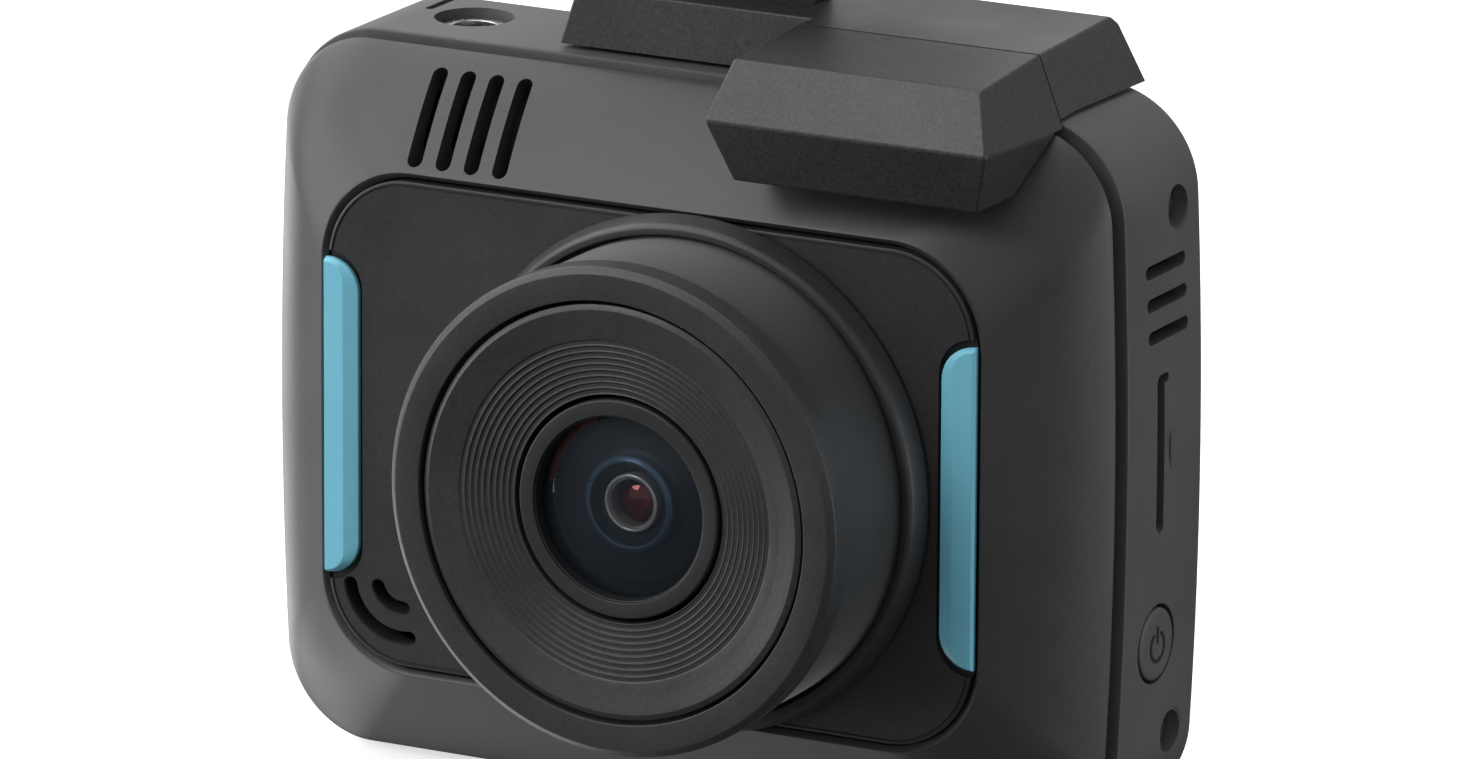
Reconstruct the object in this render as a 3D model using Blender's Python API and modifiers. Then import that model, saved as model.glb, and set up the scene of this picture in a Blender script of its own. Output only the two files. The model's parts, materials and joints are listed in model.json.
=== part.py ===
"""A dash camera on its windscreen mount, in metres, +Z up, front towards -Y.

The case is a curved front bezel on a rounded housing, closed by a rear cover with a display.
A wide lens barrel stands out of the front panel. On top, a rail takes the mount: a bar with a
faceted pod in front of it, and a tilting foot with an adhesive pad.
Places are given from the centre of the front panel's face, and the empty called panel_centre
carries that point to its place over the centre of the object's base.
"""

import math

import bmesh
import bpy
from mathutils import Matrix, Vector

# ---------------------------------------------------------------- driving dimensions
GAP = 0.0003  # clearance between neighbouring pieces

CASE_HALF_WIDTH = 0.0386
CASE_HALF_HEIGHT = 0.0303
CASE_CORNER = 0.008
CASE_BOW = 0.027  # share by which the sides draw in towards the corners
CASE_WALL = 0.0016
CORNER_STEPS = 7

PANEL_HALF_WIDTH = 0.02935
PANEL_HALF_HEIGHT = 0.0204
PANEL_CORNER = 0.0074
PANEL_THICKNESS = 0.002
BAR_INNER = 0.0265  # the accent bars
BAR_OUTER = 0.02955
BAR_HALF = 0.01325
CHANNEL = 0.0007  # from the panel's edge to the bezel's crest

BEZEL_CREST = 0.00005
CREST_BOW = 0.004
BEZEL_DEPTH = 0.0075
BEZEL_RIM_INSET = 0.0005
BEZEL_WALL = 0.0022
GROOVE_FLOOR = 0.0080
HOUSING_FRONT = 0.0090
HOUSING_FLAT_END = 0.0216
HOUSING_BACK_RADIUS = 0.0024
HOUSING_BACK = HOUSING_FLAT_END + HOUSING_BACK_RADIUS
LEDGE_INSET = 0.0046
LEDGE_FRONT = 0.0210
COVER_INSET = HOUSING_BACK_RADIUS + GAP
COVER_THICKNESS = 0.0014
COVER_FRONT = 0.0225

LENS_X = 0.0042
LENS_Z = -0.0003
LENS_STEPS = 48
HOOD_FRONT = 0.014
HOOD_RADIUS = 0.020
BARREL_RADIUS = 0.0196
NECK_RADIUS = 0.0173
GLASS_RADIUS = 0.0078

SIDE_Y = 0.0184  # the case screws
SIDE_Z = 0.0218
SLOT_Y = 0.0148  # the card slot
SLOT_Z = 0.0023
BUTTON_Y = 0.0149
BUTTON_Z = -0.01355
BUTTON_RADIUS = 0.003
BUTTON_TRAVEL = 0.0004
USB_Y = 0.0146
USB_Z = 0.0057
JACK_X = -0.0249
JACK_Y = 0.0163

BOARD_FRONT = 0.0162
BOARD_THICKNESS = 0.001
KEY_X = 0.0283
KEY_PITCH = 0.009
WINDOW_X = -0.0055
WINDOW_SIZE = (0.0514, 0.0380)

BAR_TOP = 0.0353
BAR_BACK = 0.0240
SEAM_Y = 0.0088  # between the bar and the pod
RAIL_X = 0.020
RAIL_FRONT = 0.0133
RAIL_BACK = 0.0228
HINGE_Y = 0.0175
HINGE_Z = 0.0336
FOOT_SIZE = (0.040, 0.024)
FOOT_BOTTOM = 0.0462
FOOT_THICKNESS = 0.0024
PAD_THICKNESS = 0.001
PAD_TOP = FOOT_BOTTOM + FOOT_THICKNESS + GAP + PAD_THICKNESS
CASE_TOP = CASE_HALF_HEIGHT

FOOT_BACK = HINGE_Y + FOOT_SIZE[1] / 2
CENTRE = (0.0, (HOOD_FRONT - FOOT_BACK) / 2, CASE_HALF_HEIGHT)

TO_FRONT = (math.pi / 2, 0.0, 0.0)  # turns a piece's own +Z towards the front, -Y
TO_RIGHT = (0.0, math.pi / 2, 0.0)  # turns a piece's own +Z towards +X
TO_LEFT = (0.0, -math.pi / 2, 0.0)
ALONG_SIDE = (math.pi / 2, 0.0, math.pi / 2)  # own x along +Y, own y up, own +Z towards +X


# ---------------------------------------------------------------- scene and materials
def clear_scene():
    for old in list(bpy.data.objects):
        bpy.data.objects.remove(old)


def new_collection(name):
    made = bpy.data.collections.new(name)
    bpy.context.scene.collection.children.link(made)
    return made


def new_material(name, colour, roughness, metallic=0.0, transmission=0.0):
    made = bpy.data.materials.new(name)
    made.use_nodes = True
    shader = made.node_tree.nodes["Principled BSDF"]
    shader.inputs["Base Color"].default_value = (*colour, 1.0)
    shader.inputs["Roughness"].default_value = roughness
    shader.inputs["Metallic"].default_value = metallic
    shader.inputs["Transmission Weight"].default_value = transmission
    return made


clear_scene()
PARTS = new_collection("dash_camera")
CUTTERS = new_collection("cutters")

SATIN_BLACK = new_material("satin_black", (0.035, 0.035, 0.038), 0.42)
MATTE_BLACK = new_material("matte_black", (0.045, 0.046, 0.050), 0.60)
DEEP_BLACK = new_material("deep_black", (0.010, 0.010, 0.011), 0.55)
ACCENT_BLUE = new_material("accent_blue", (0.10, 0.36, 0.52), 0.40)
LENS_GLASS = new_material("lens_glass", (0.03, 0.04, 0.07), 0.03, transmission=0.6)
SCREEN_GLASS = new_material("screen_glass", (0.01, 0.01, 0.012), 0.06)
BRIGHT_METAL = new_material("bright_metal", (0.72, 0.72, 0.74), 0.22, metallic=1.0)
DARK_METAL = new_material("dark_metal", (0.20, 0.20, 0.21), 0.35, metallic=1.0)
BOARD_GREEN = new_material("board_green", (0.02, 0.14, 0.06), 0.5)
CHIP_BLACK = new_material("chip_black", (0.02, 0.02, 0.022), 0.45)
CELL_WRAP = new_material("cell_wrap", (0.10, 0.13, 0.20), 0.45)
RIBBON = new_material("ribbon", (0.45, 0.22, 0.04), 0.4)
CERAMIC = new_material("ceramic", (0.62, 0.55, 0.42), 0.5)
GOLD = new_material("gold", (0.80, 0.58, 0.22), 0.28, metallic=1.0)
FOAM = new_material("foam_pad", (0.05, 0.05, 0.05), 0.9)


# ---------------------------------------------------------------- building helpers
def new_empty(name, location, parent=None):
    made = bpy.data.objects.new(name, None)
    made.empty_display_size = 0.005
    made.location = location
    made.parent = parent
    PARTS.objects.link(made)
    return made


PANEL_CENTRE = new_empty("panel_centre", CENTRE)


def new_object(name, mesh, material, location, rotation=(0.0, 0.0, 0.0), parent=None):
    """A part in the parts collection or, where material is None, a helper among the cutters."""
    made = bpy.data.objects.new(name, mesh)
    made.location = location
    made.rotation_euler = rotation
    made.parent = parent or PANEL_CENTRE
    if material is None:
        CUTTERS.objects.link(made)
        made.hide_render = True
        made.display_type = "WIRE"
        return made
    made.data.materials.clear()
    made.data.materials.append(material)
    made.data.shade_smooth()
    made.data.set_sharp_from_angle(angle=math.radians(32))
    PARTS.objects.link(made)
    return made


def mesh_of(name, bm):
    bmesh.ops.recalc_face_normals(bm, faces=bm.faces)
    mesh = bpy.data.meshes.new(name)
    bm.to_mesh(mesh)
    bm.free()
    return mesh


def box(name, material, size, centre, bevel=0.0, parent=None):
    bm = bmesh.new()
    bmesh.ops.create_cube(bm, size=1.0)
    bmesh.ops.scale(bm, vec=Vector(size), verts=bm.verts)
    made = new_object(name, mesh_of(name, bm), material, centre, parent=parent)
    if bevel:
        soften(made, bevel)
    return made


def span_box(name, material, low, high, bevel=0.0, parent=None):
    """A box from its lowest to its highest corner, from the origin of its parent."""
    size = [b - a for a, b in zip(low, high)]
    centre = [(a + b) / 2 for a, b in zip(low, high)]
    return box(name, material, size, centre, bevel, parent)


def rod(name, material, radius, length, centre, rotation, segments=24, parent=None):
    bm = bmesh.new()
    bmesh.ops.create_cone(
        bm, cap_ends=True, segments=segments, radius1=radius, radius2=radius, depth=length
    )
    return new_object(name, mesh_of(name, bm), material, centre, rotation, parent)


def soften(piece, width, segments=2):
    bevel = piece.modifiers.new("soft_edges", "BEVEL")
    bevel.width = width
    bevel.segments = segments
    bevel.limit_method = "ANGLE"
    bevel.angle_limit = math.radians(40)


def turned(name, material, profile, location, rotation, steps=LENS_STEPS, closed=False, parent=None):
    """A turned piece: profile holds (radius, height) down the outer side, top to bottom."""
    bm = bmesh.new()
    corners = [bm.verts.new((radius, 0.0, height)) for radius, height in profile]
    for a, b in zip(corners, corners[1:]):
        bm.edges.new((a, b))
    if closed:
        bm.edges.new((corners[-1], corners[0]))
    mesh = bpy.data.meshes.new(name)
    bm.to_mesh(mesh)
    bm.free()
    made = new_object(name, mesh, material, location, rotation, parent)
    screw = made.modifiers.new("turned", "SCREW")
    screw.steps = steps
    screw.render_steps = steps
    screw.use_merge_vertices = True
    screw.merge_threshold = 0.00001
    screw.use_smooth_shade = False
    return made


def prism(name, material, outlines, thickness, location, rotation, parent=None):
    """A flat piece of this thickness: the first outline is its edge, and the others are holes."""
    curve = bpy.data.curves.new(name, "CURVE")
    curve.dimensions = "2D"
    curve.fill_mode = "BOTH"
    curve.extrude = thickness / 2
    for outline in outlines:
        spline = curve.splines.new("POLY")
        spline.points.add(len(outline) - 1)
        for point, (x, y) in zip(spline.points, outline):
            point.co = (x, y, 0.0, 1.0)
        spline.use_cyclic_u = True
    holder = bpy.data.objects.new(name, curve)
    CUTTERS.objects.link(holder)
    graph = bpy.context.evaluated_depsgraph_get()
    flat = bpy.data.meshes.new_from_object(holder.evaluated_get(graph))
    bpy.data.objects.remove(holder)
    bpy.data.curves.remove(curve)
    bm = bmesh.new()
    bm.from_mesh(flat)
    bpy.data.meshes.remove(flat)
    bmesh.ops.remove_doubles(bm, verts=bm.verts, dist=0.000001)
    return new_object(name, mesh_of(name, bm), material, location, rotation, parent)


def loft(name, material, rings, capped, location=(0.0, 0.0, 0.0), parent=None):
    """Faces between rings of equal length, closed round from last to first unless capped."""
    bm = bmesh.new()
    rows = [[bm.verts.new(point) for point in ring] for ring in rings]
    pairs = list(zip(rows, rows[1:]))
    if not capped:
        pairs.append((rows[-1], rows[0]))
    for low, high in pairs:
        for i in range(len(low)):
            j = (i + 1) % len(low)
            bm.faces.new((low[i], low[j], high[j], high[i]))
    if capped:
        bm.faces.new(rows[0])
        bm.faces.new(rows[-1])
    bmesh.ops.triangulate(bm, faces=bm.faces)
    return new_object(name, mesh_of(name, bm), material, location, parent=parent)


def combine(target, other, operation="DIFFERENCE"):
    made = target.modifiers.new(other.name, "BOOLEAN")
    made.operation = operation
    made.solver = "EXACT"
    made.object = other


# ---------------------------------------------------------------- outlines
def arc(centre, radius, start, end, steps):
    """Points on an arc, with its angles in degrees."""
    turns = [math.radians(start + (end - start) * i / steps) for i in range(steps + 1)]
    return [(centre[0] + radius * math.cos(a), centre[1] + radius * math.sin(a)) for a in turns]


def circle(centre, radius, steps=LENS_STEPS):
    return arc(centre, radius, 0.0, 360.0, steps)[:-1]


def rounded_rectangle(half_width, half_height, radius, steps=4, centre=(0.0, 0.0)):
    x, y = half_width - radius, half_height - radius
    points = []
    for (sx, sy), start in zip(((1, 1), (-1, 1), (-1, -1), (1, -1)), (0, 90, 180, 270)):
        corner = (centre[0] + sx * x, centre[1] + sy * y)
        points += arc(corner, radius, start, start + 90, steps)
    return points


def framed_outline(half_width, half_height, radius, bow=0.0):
    """A rounded rectangle with points along its sides, which draw in by bow at the corners."""
    corners = rounded_rectangle(half_width, half_height, radius, CORNER_STEPS)
    per_corner = CORNER_STEPS + 1
    points = []
    for side in range(4):
        points += corners[side * per_corner : (side + 1) * per_corner]
        start = Vector(points[-1])
        end = Vector(corners[(side + 1) * per_corner % len(corners)])
        between = 0 if side % 2 == 0 else 3
        points += [tuple(start.lerp(end, (i + 1) / (between + 1))) for i in range(between)]
    return [(x * (1 - bow * (z / half_height) ** 2), z) for x, z in points]


def case_outline(inset):
    return framed_outline(
        CASE_HALF_WIDTH - inset,
        CASE_HALF_HEIGHT - inset,
        max(CASE_CORNER - inset, 0.001),
        CASE_BOW,
    )


def stadium(length, width, steps=5):
    """A slot's outline, with its length along x."""
    end = (length - width) / 2
    return arc((end, 0.0), width / 2, -90, 90, steps) + arc((-end, 0.0), width / 2, 90, 270, steps)


def curved_slot(centre, radius, width, start, end, steps=8):
    """An arc-shaped slot's outline with round ends."""
    outer = arc(centre, radius + width / 2, start, end, steps)
    inner = arc(centre, radius - width / 2, end, start, steps)
    far = arc((centre[0], centre[1]), radius, end, end, 1)[0]
    near = arc((centre[0], centre[1]), radius, start, start, 1)[0]
    far_cap = arc(far, width / 2, end, end + 180, 4)[1:-1]
    near_cap = arc(near, width / 2, start + 180, start + 360, 4)[1:-1]
    return outer + far_cap + inner + near_cap


# ---------------------------------------------------------------- front bezel and panel
def side_shares():
    """For each point of a framed outline, 0 where it faces up or down and 1 where sideways."""
    shares = []
    for side in range(4):
        for step in range(CORNER_STEPS + 1):
            shares.append(math.cos(math.radians(90 * (side + step / CORNER_STEPS))) ** 2)
        shares += [1.0] * (0 if side % 2 == 0 else 3)
    return shares


def bezel_slope(t, side):
    """Depth of the bezel's outer face, from its crest at t = 0 to its rim at t = 1.

    It's nearly flat above and below the panel, and bulges at the sides.
    """
    flat = 0.84 * t + 0.16 * t**3
    bulging = 0.55 * t + 0.45 * t**3
    return BEZEL_CREST + (BEZEL_DEPTH - BEZEL_CREST) * (flat + (bulging - flat) * side)


def frame_between(t, grow=0.0):
    """The outline at t between the bezel's crest and its rim."""
    inner = framed_outline(
        PANEL_HALF_WIDTH + CHANNEL + grow,
        PANEL_HALF_HEIGHT + CHANNEL + grow,
        PANEL_CORNER + CHANNEL,
        CREST_BOW,
    )
    outer = case_outline(BEZEL_RIM_INSET - grow)
    return [(x0 + (x1 - x0) * t, z0 + (z1 - z0) * t) for (x0, z0), (x1, z1) in zip(inner, outer)]


def flat_ring(t, y, grow=0.0):
    return [(x, y, z) for x, z in frame_between(t, grow)]


def slope_ring(t, behind=0.0, grow=0.0):
    """A ring this far behind the bezel's outer face."""
    points = frame_between(t, grow)
    return [(x, bezel_slope(t, side) + behind, z) for (x, z), side in zip(points, side_shares())]


def make_front_bezel():
    lip, ledge, behind_panel = 0.0105, 0.0036, PANEL_THICKNESS + GAP
    rings = [flat_ring(-0.05, 0.0005)]
    rings += [slope_ring(t) for t in (0.0, 0.2, 0.36, 0.52, 0.66, 0.79, 0.9, 1.0)]
    back = [(0.995, GROOVE_FLOOR - GAP), (0.82, GROOVE_FLOOR)]
    back += [(0.82, 0.0095), (0.80, lip), (0.66, lip)]
    rings += [flat_ring(t, y) for t, y in back]
    rings += [slope_ring(t, BEZEL_WALL) for t in (0.62, 0.45, 0.3)]
    ends = ((0.2, ledge), (-0.15, ledge), (-0.15, behind_panel), (-0.05, behind_panel))
    rings += [flat_ring(t, y) for t, y in ends]
    bezel = loft("front_bezel", SATIN_BLACK, rings, capped=False)
    foot, head = Vector((0.00025, 0.00035, 0.02158)), Vector((-0.00025, 0.00615, 0.02855))
    middle = (foot + head) / 2
    turn = slot_rotation(head - foot)
    for i in range(4):
        place = middle + Vector((-0.0219 + 0.0026 * i, 0.0, 0.0))
        outline = stadium((head - foot).length, 0.00135)
        vent = prism(f"bezel_vent_{i + 1}", None, [outline], 0.0044, place, turn)
        combine(bezel, vent)


def slot_rotation(direction):
    """Turns a slot that lies along x in its own plane to run this way up the bezel's top face."""
    along = direction.normalized()
    across = Vector((1.0, 0.0, 0.0))
    across = (across - along * across.dot(along)).normalized()
    return Matrix((along, across, along.cross(across))).transposed().to_euler()


def make_front_panel():
    panel = prism(
        "front_panel",
        SATIN_BLACK,
        [
            rounded_rectangle(PANEL_HALF_WIDTH, PANEL_HALF_HEIGHT, PANEL_CORNER, CORNER_STEPS),
            circle((LENS_X, LENS_Z), NECK_RADIUS + GAP),
        ],
        PANEL_THICKNESS,
        (0.0, PANEL_THICKNESS / 2, 0.0),
        TO_FRONT,
    )
    arcs_centre = (-0.0226, -0.0132)
    arcs = (("arc_inner", 0.00225, 198, 275), ("arc_outer", 0.0048, 190, 279))
    for name, radius, start, end in arcs:
        outline = curved_slot(arcs_centre, radius, 0.0011, start, end)
        combine(panel, prism(name, None, [outline], 0.006, (0.0, 0.001, 0.0), TO_FRONT))
    for side, name in ((-1, "left"), (1, "right")):
        pocket = rounded_rectangle(0.0035, BAR_HALF + 2 * GAP, 0.003)
        place = (side * (BAR_INNER - GAP + 0.0035), 0.0, 0.0)
        combine(panel, prism(f"bar_pocket_{name}", None, [pocket], 0.0012, place, TO_FRONT))


def make_accent_bar(name, side):
    curve = 0.00285
    right = [(BAR_OUTER, -BAR_HALF), (BAR_OUTER, BAR_HALF)]
    right += arc((BAR_INNER + curve, BAR_HALF - curve), curve, 90, 180, 6)
    right += arc((BAR_INNER + curve, curve - BAR_HALF), curve, 180, 270, 6)
    outline = [(side * x, z) for x, z in right]
    bar = prism(name, ACCENT_BLUE, [outline], 0.0008, (0.0, -0.0001, 0.0), TO_FRONT)
    soften(bar, 0.0003)


# ---------------------------------------------------------------- lens
def lens_piece(name, material, profile, steps=LENS_STEPS, closed=True):
    """A turned piece on the lens axis: its heights are distances in front of the panel's face."""
    turned(name, material, profile, (LENS_X, 0.0, LENS_Z), TO_FRONT, steps, closed)


def make_lens_shell():
    lens_piece(
        "lens_collar",
        SATIN_BLACK,
        [
            (BARREL_RADIUS + 0.00035, 0.0023),
            (0.0206, 0.0023),
            (0.0208, 0.00203),
            (0.0214, GAP),
            (BARREL_RADIUS + 0.00035, GAP),
        ],
    )
    lens_piece(
        "lens_barrel",
        SATIN_BLACK,
        [
            (0.0176, 0.0130),
            (0.0189, 0.0130),
            (0.0189, 0.0110),
            (BARREL_RADIUS, 0.0110),
            (BARREL_RADIUS, GAP),
            (NECK_RADIUS, GAP),
            (NECK_RADIUS, -0.0040),
            (0.0158, -0.0040),
            (0.0158, 0.0010),
            (0.0176, 0.0018),
        ],
    )
    lens_piece(
        "lens_lock_nut",
        DARK_METAL,
        [(0.0176, -0.0023), (0.0194, -0.0023), (0.0194, -0.0042), (0.0176, -0.0042)],
        steps=32,
    )
    lens_piece(
        "lens_hood_ring",
        SATIN_BLACK,
        [
            (0.0173, HOOD_FRONT),
            (0.0194, HOOD_FRONT),
            (0.0198, 0.0138),
            (HOOD_RADIUS, 0.0134),
            (HOOD_RADIUS, 0.0113),
            (0.0192, 0.0113),
            (0.0192, 0.0133),
            (0.0173, 0.0133),
        ],
    )
    step_count = 7
    inner, tread, rise, low = 0.00935, 0.00066, 0.000125, 0.01245
    steps = []
    for i in range(step_count):
        steps.append((inner + tread * i, low + rise * i))
        steps.append((inner + tread * (i + 0.9), low + rise * i))
    rim = [(0.0140, low + rise * step_count), (0.0166, 0.0138), (0.01695, 0.0137)]
    lens_piece("hood_baffle", DEEP_BLACK, [*steps, *rim, (0.01695, 0.0117), (inner, 0.0110)], 40)


def make_lens_inside():
    lens_piece(
        "lens_retaining_ring",
        SATIN_BLACK,
        [
            (0.0077, 0.0126),
            (0.00885, 0.0126),
            (0.00896, 0.01245),
            (0.00896, 0.0080),
            (0.0081, 0.0080),
            (0.0081, 0.0117),
            (0.0074, 0.0117),
            (0.0074, 0.0120),
        ],
        40,
    )
    dome = [(0.0, 0.01225), (0.0026, 0.01214), (0.0052, 0.01181), (GLASS_RADIUS, 0.01127)]
    hollow = [(GLASS_RADIUS, 0.0104), (0.0068, 0.0104)]
    hollow += [(0.0052, 0.0109), (0.0026, 0.0113), (0.0, 0.0114)]
    lens_piece("front_lens", LENS_GLASS, dome + hollow, 32, closed=False)
    lens_piece(
        "lens_cell",
        DEEP_BLACK,
        [
            (0.0027, 0.0099),
            (0.0036, 0.0099),
            (0.0042, 0.0095),
            (0.0066, 0.0095),
            (0.0072, 0.0100),
            (0.0077, 0.0100),
            (0.0077, 0.0086),
            (0.0056, 0.0084),
            (0.0056, -0.0010),
            (0.0043, -0.0010),
            (0.0043, 0.0080),
            (0.0027, 0.0084),
        ],
        32,
    )
    lens_piece(
        "iris_ring",
        BRIGHT_METAL,
        [
            (0.0020, 0.01045),
            (0.0023, 0.01045),
            (0.0024, 0.0103),
            (0.0024, 0.0088),
            (0.0019, 0.0088),
            (0.0019, 0.0102),
        ],
        28,
    )
    lens_piece(
        "rear_lens",
        LENS_GLASS,
        [(0.0, 0.0099), (0.0009, 0.00975), (0.0016, 0.0094), (0.0016, 0.0089), (0.0, 0.0089)],
        24,
        closed=False,
    )
    lens_piece(
        "lens_holder",
        MATTE_BLACK,
        [
            (0.0059, 0.0075),
            (0.0076, 0.0075),
            (0.0076, -0.0030),
            (0.0105, -0.0030),
            (0.0105, -0.0044),
            (0.0059, -0.0044),
        ],
        32,
    )
    box("image_sensor", CHIP_BLACK, (0.008, 0.001, 0.0064), (LENS_X, 0.0039, LENS_Z))
    box("sensor_board", BOARD_GREEN, (0.021, 0.001, 0.021), (LENS_X, 0.0052, LENS_Z))
    bend = [
        (0.0080, 0.0060), (0.0173, 0.0060), (0.0173, 0.0156),
        (0.0170, 0.0156), (0.0170, 0.0063), (0.0080, 0.0063),
    ]
    prism("sensor_flex", RIBBON, [bend], 0.008, (0.0, 0.0, LENS_Z), (0.0, 0.0, 0.0))


# ---------------------------------------------------------------- housing and rear cover
def make_main_housing():
    path = [(0.00015, HOUSING_FRONT), (0.0, HOUSING_FRONT + 0.00015), (0.0, HOUSING_FLAT_END)]
    for i in range(1, 5):
        turn = math.radians(22.5 * i)
        inset = HOUSING_BACK_RADIUS * (1 - math.cos(turn))
        path.append((inset, HOUSING_FLAT_END + HOUSING_BACK_RADIUS * math.sin(turn)))
    path += [
        (HOUSING_BACK_RADIUS, COVER_FRONT - GAP),
        (LEDGE_INSET, COVER_FRONT - GAP),
        (LEDGE_INSET, LEDGE_FRONT),
        (CASE_WALL, LEDGE_FRONT),
        (CASE_WALL, HOUSING_FRONT),
    ]
    rings = [[(x, y, z) for x, z in case_outline(inset)] for inset, y in path]
    housing = loft("main_housing", MATTE_BLACK, rings, capped=False)
    for sx, sz, name in ((1, 1, "ru"), (1, -1, "rl"), (-1, 1, "lu"), (-1, -1, "ll")):
        y, z = SIDE_Y, sz * SIDE_Z
        boss = rod(f"boss_{name}", None, 0.0027, 0.0035, (sx * 0.03545, y, z), TO_RIGHT)
        combine(housing, boss, "UNION")
        recess = rod(f"recess_{name}", None, 0.00175, 0.0060, (sx * 0.0382, y, z), TO_RIGHT)
        combine(housing, recess)
        hole = rod(f"boss_hole_{name}", None, 0.0012, 0.0060, (sx * 0.0350, y, z), TO_RIGHT, 16)
        combine(housing, hole)
    make_side_openings(housing)
    make_top_openings(housing)


def make_side_openings(housing):
    through = 0.008
    right, left = CASE_HALF_WIDTH - 0.001, -CASE_HALF_WIDTH + 0.001
    for i in range(3):
        place = (right, 0.0159 + 0.00016 * i, 0.0175 - 0.0027 * i)
        outline = stadium(0.0071, 0.0011)
        vent = prism(f"side_vent_{i + 1}", None, [outline], through, place, ALONG_SIDE)
        combine(housing, vent)
    place = (right, SLOT_Y, SLOT_Z)
    slot = prism("card_slot", None, [stadium(0.0129, 0.0009)], through, place, TO_RIGHT)
    combine(housing, slot)
    place = (CASE_HALF_WIDTH, SLOT_Y + 0.0006, SLOT_Z + 0.0061)
    hook = prism("slot_hook", None, [stadium(0.0017, 0.0008)], 0.0022, place, ALONG_SIDE)
    combine(housing, hook)
    place = (CASE_HALF_WIDTH, SLOT_Y + 0.00015, SLOT_Z - 0.0060)
    combine(housing, rod("slot_flare", None, 0.0006, 0.0022, place, TO_RIGHT, 16))
    place = (CASE_HALF_WIDTH + 0.01022, SLOT_Y + 0.0013, SLOT_Z + 0.0006)
    combine(housing, rod("card_scoop", None, 0.0105, 0.0022, place, TO_FRONT, 48))
    place = (right, BUTTON_Y, BUTTON_Z)
    combine(housing, rod("button_hole", None, BUTTON_RADIUS + GAP, through, place, TO_RIGHT, 36))
    mouth = rounded_rectangle(0.0041, 0.0016, 0.0008)
    combine(housing, prism("usb_mouth", None, [mouth], through, (left, USB_Y, USB_Z), TO_RIGHT))


def make_top_openings(housing):
    top = CASE_TOP - 0.0005
    combine(housing, rod("jack_hole", None, 0.0033, 0.005, (JACK_X, JACK_Y, top), (0.0, 0.0, 0.0), 32))
    place, turn = (-0.0296, 0.0196, CASE_TOP), (0.0, 0.0, math.pi / 2)
    combine(housing, prism("top_slit", None, [stadium(0.0054, 0.00075)], 0.0016, place, turn))
    low = (CONTACT_X[0] - GAP, CONTACT_Y[0] - GAP, top - 0.003)
    high = (CONTACT_X[1] + GAP, CONTACT_Y[1] + GAP, top + 0.002)
    combine(housing, span_box("contact_hole", None, low, high))


def make_rear_cover():
    window = [(WINDOW_X + x, z) for x, z in window_outline(GAP)]
    openings = [
        rounded_rectangle(0.0033, 0.0025, 0.0010, 4, (KEY_X, z)) for z in key_heights()
    ]
    cover = prism(
        "rear_cover",
        MATTE_BLACK,
        [case_outline(COVER_INSET), window, *openings],
        COVER_THICKNESS,
        (0.0, COVER_FRONT + COVER_THICKNESS / 2, 0.0),
        TO_FRONT,
    )
    for sx, sz, name in ((1, 1, "ru"), (1, -1, "rl"), (-1, 1, "lu"), (-1, -1, "ll")):
        x, z = sorted((sx * 0.0290, sx * 0.0329)), sorted((sz * 0.0196, sz * 0.0236))
        lug = span_box(f"lug_{name}", None, (x[0], 0.0150, z[0]), (x[1], COVER_FRONT + 0.0006, z[1]))
        combine(cover, lug, "UNION")
        place = (sx * 0.0312, SIDE_Y, sz * SIDE_Z)
        combine(cover, rod(f"lug_hole_{name}", None, 0.0012, 0.008, place, TO_RIGHT, 16))


def window_outline(grow):
    return rounded_rectangle(WINDOW_SIZE[0] / 2 + grow, WINDOW_SIZE[1] / 2 + grow, 0.0015)


def key_heights():
    return [KEY_PITCH * (1.5 - i) for i in range(4)]


def make_display():
    prism(
        "display_window",
        SCREEN_GLASS,
        [window_outline(0.0)],
        0.0012,
        (WINDOW_X, COVER_FRONT + 0.0006, 0.0),
        TO_FRONT,
    )
    box("display_module", CHIP_BLACK, (0.0522, 0.0022, 0.0384), (WINDOW_X, 0.0198, 0.0))
    box("display_flex", RIBBON, (0.016, 0.0003, 0.014), (WINDOW_X, 0.01795, 0.004))


def make_case_screws():
    profile = [
        (0.0, 0.0361),
        (0.0006, 0.0361),
        (0.0006, 0.0369),
        (0.0013, 0.0369),
        (0.0015, 0.0367),
        (0.0015, 0.0355),
        (0.0009, 0.0354),
        (0.0009, 0.0296),
        (0.0, 0.0296),
    ]
    for side, turn, name in ((1, TO_RIGHT, "right"), (-1, TO_LEFT, "left")):
        for height, end in ((SIDE_Z, "upper"), (-SIDE_Z, "lower")):
            turned(f"case_screw_{name}_{end}", BRIGHT_METAL, profile, (0.0, SIDE_Y, height), turn, 16)


# ---------------------------------------------------------------- controls
def make_power_button():
    centre = 0.0370
    profile = [
        (0.0, 0.0386),
        (0.0026, 0.0386),
        (0.0028, 0.03857),
        (BUTTON_RADIUS, 0.0384),
        (BUTTON_RADIUS, 0.0365),
        (0.0037, 0.0365),
        (0.0037, 0.0353),
        (0.0, 0.0353),
    ]
    local = [(r, x - centre) for r, x in profile]
    turned("power_button", MATTE_BLACK, local, (centre, BUTTON_Y, BUTTON_Z), TO_RIGHT, 36)
    span_box("power_switch", CHIP_BLACK, (0.0312, 0.0129, -0.0153), (0.0345, 0.0159, -0.0117))


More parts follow.
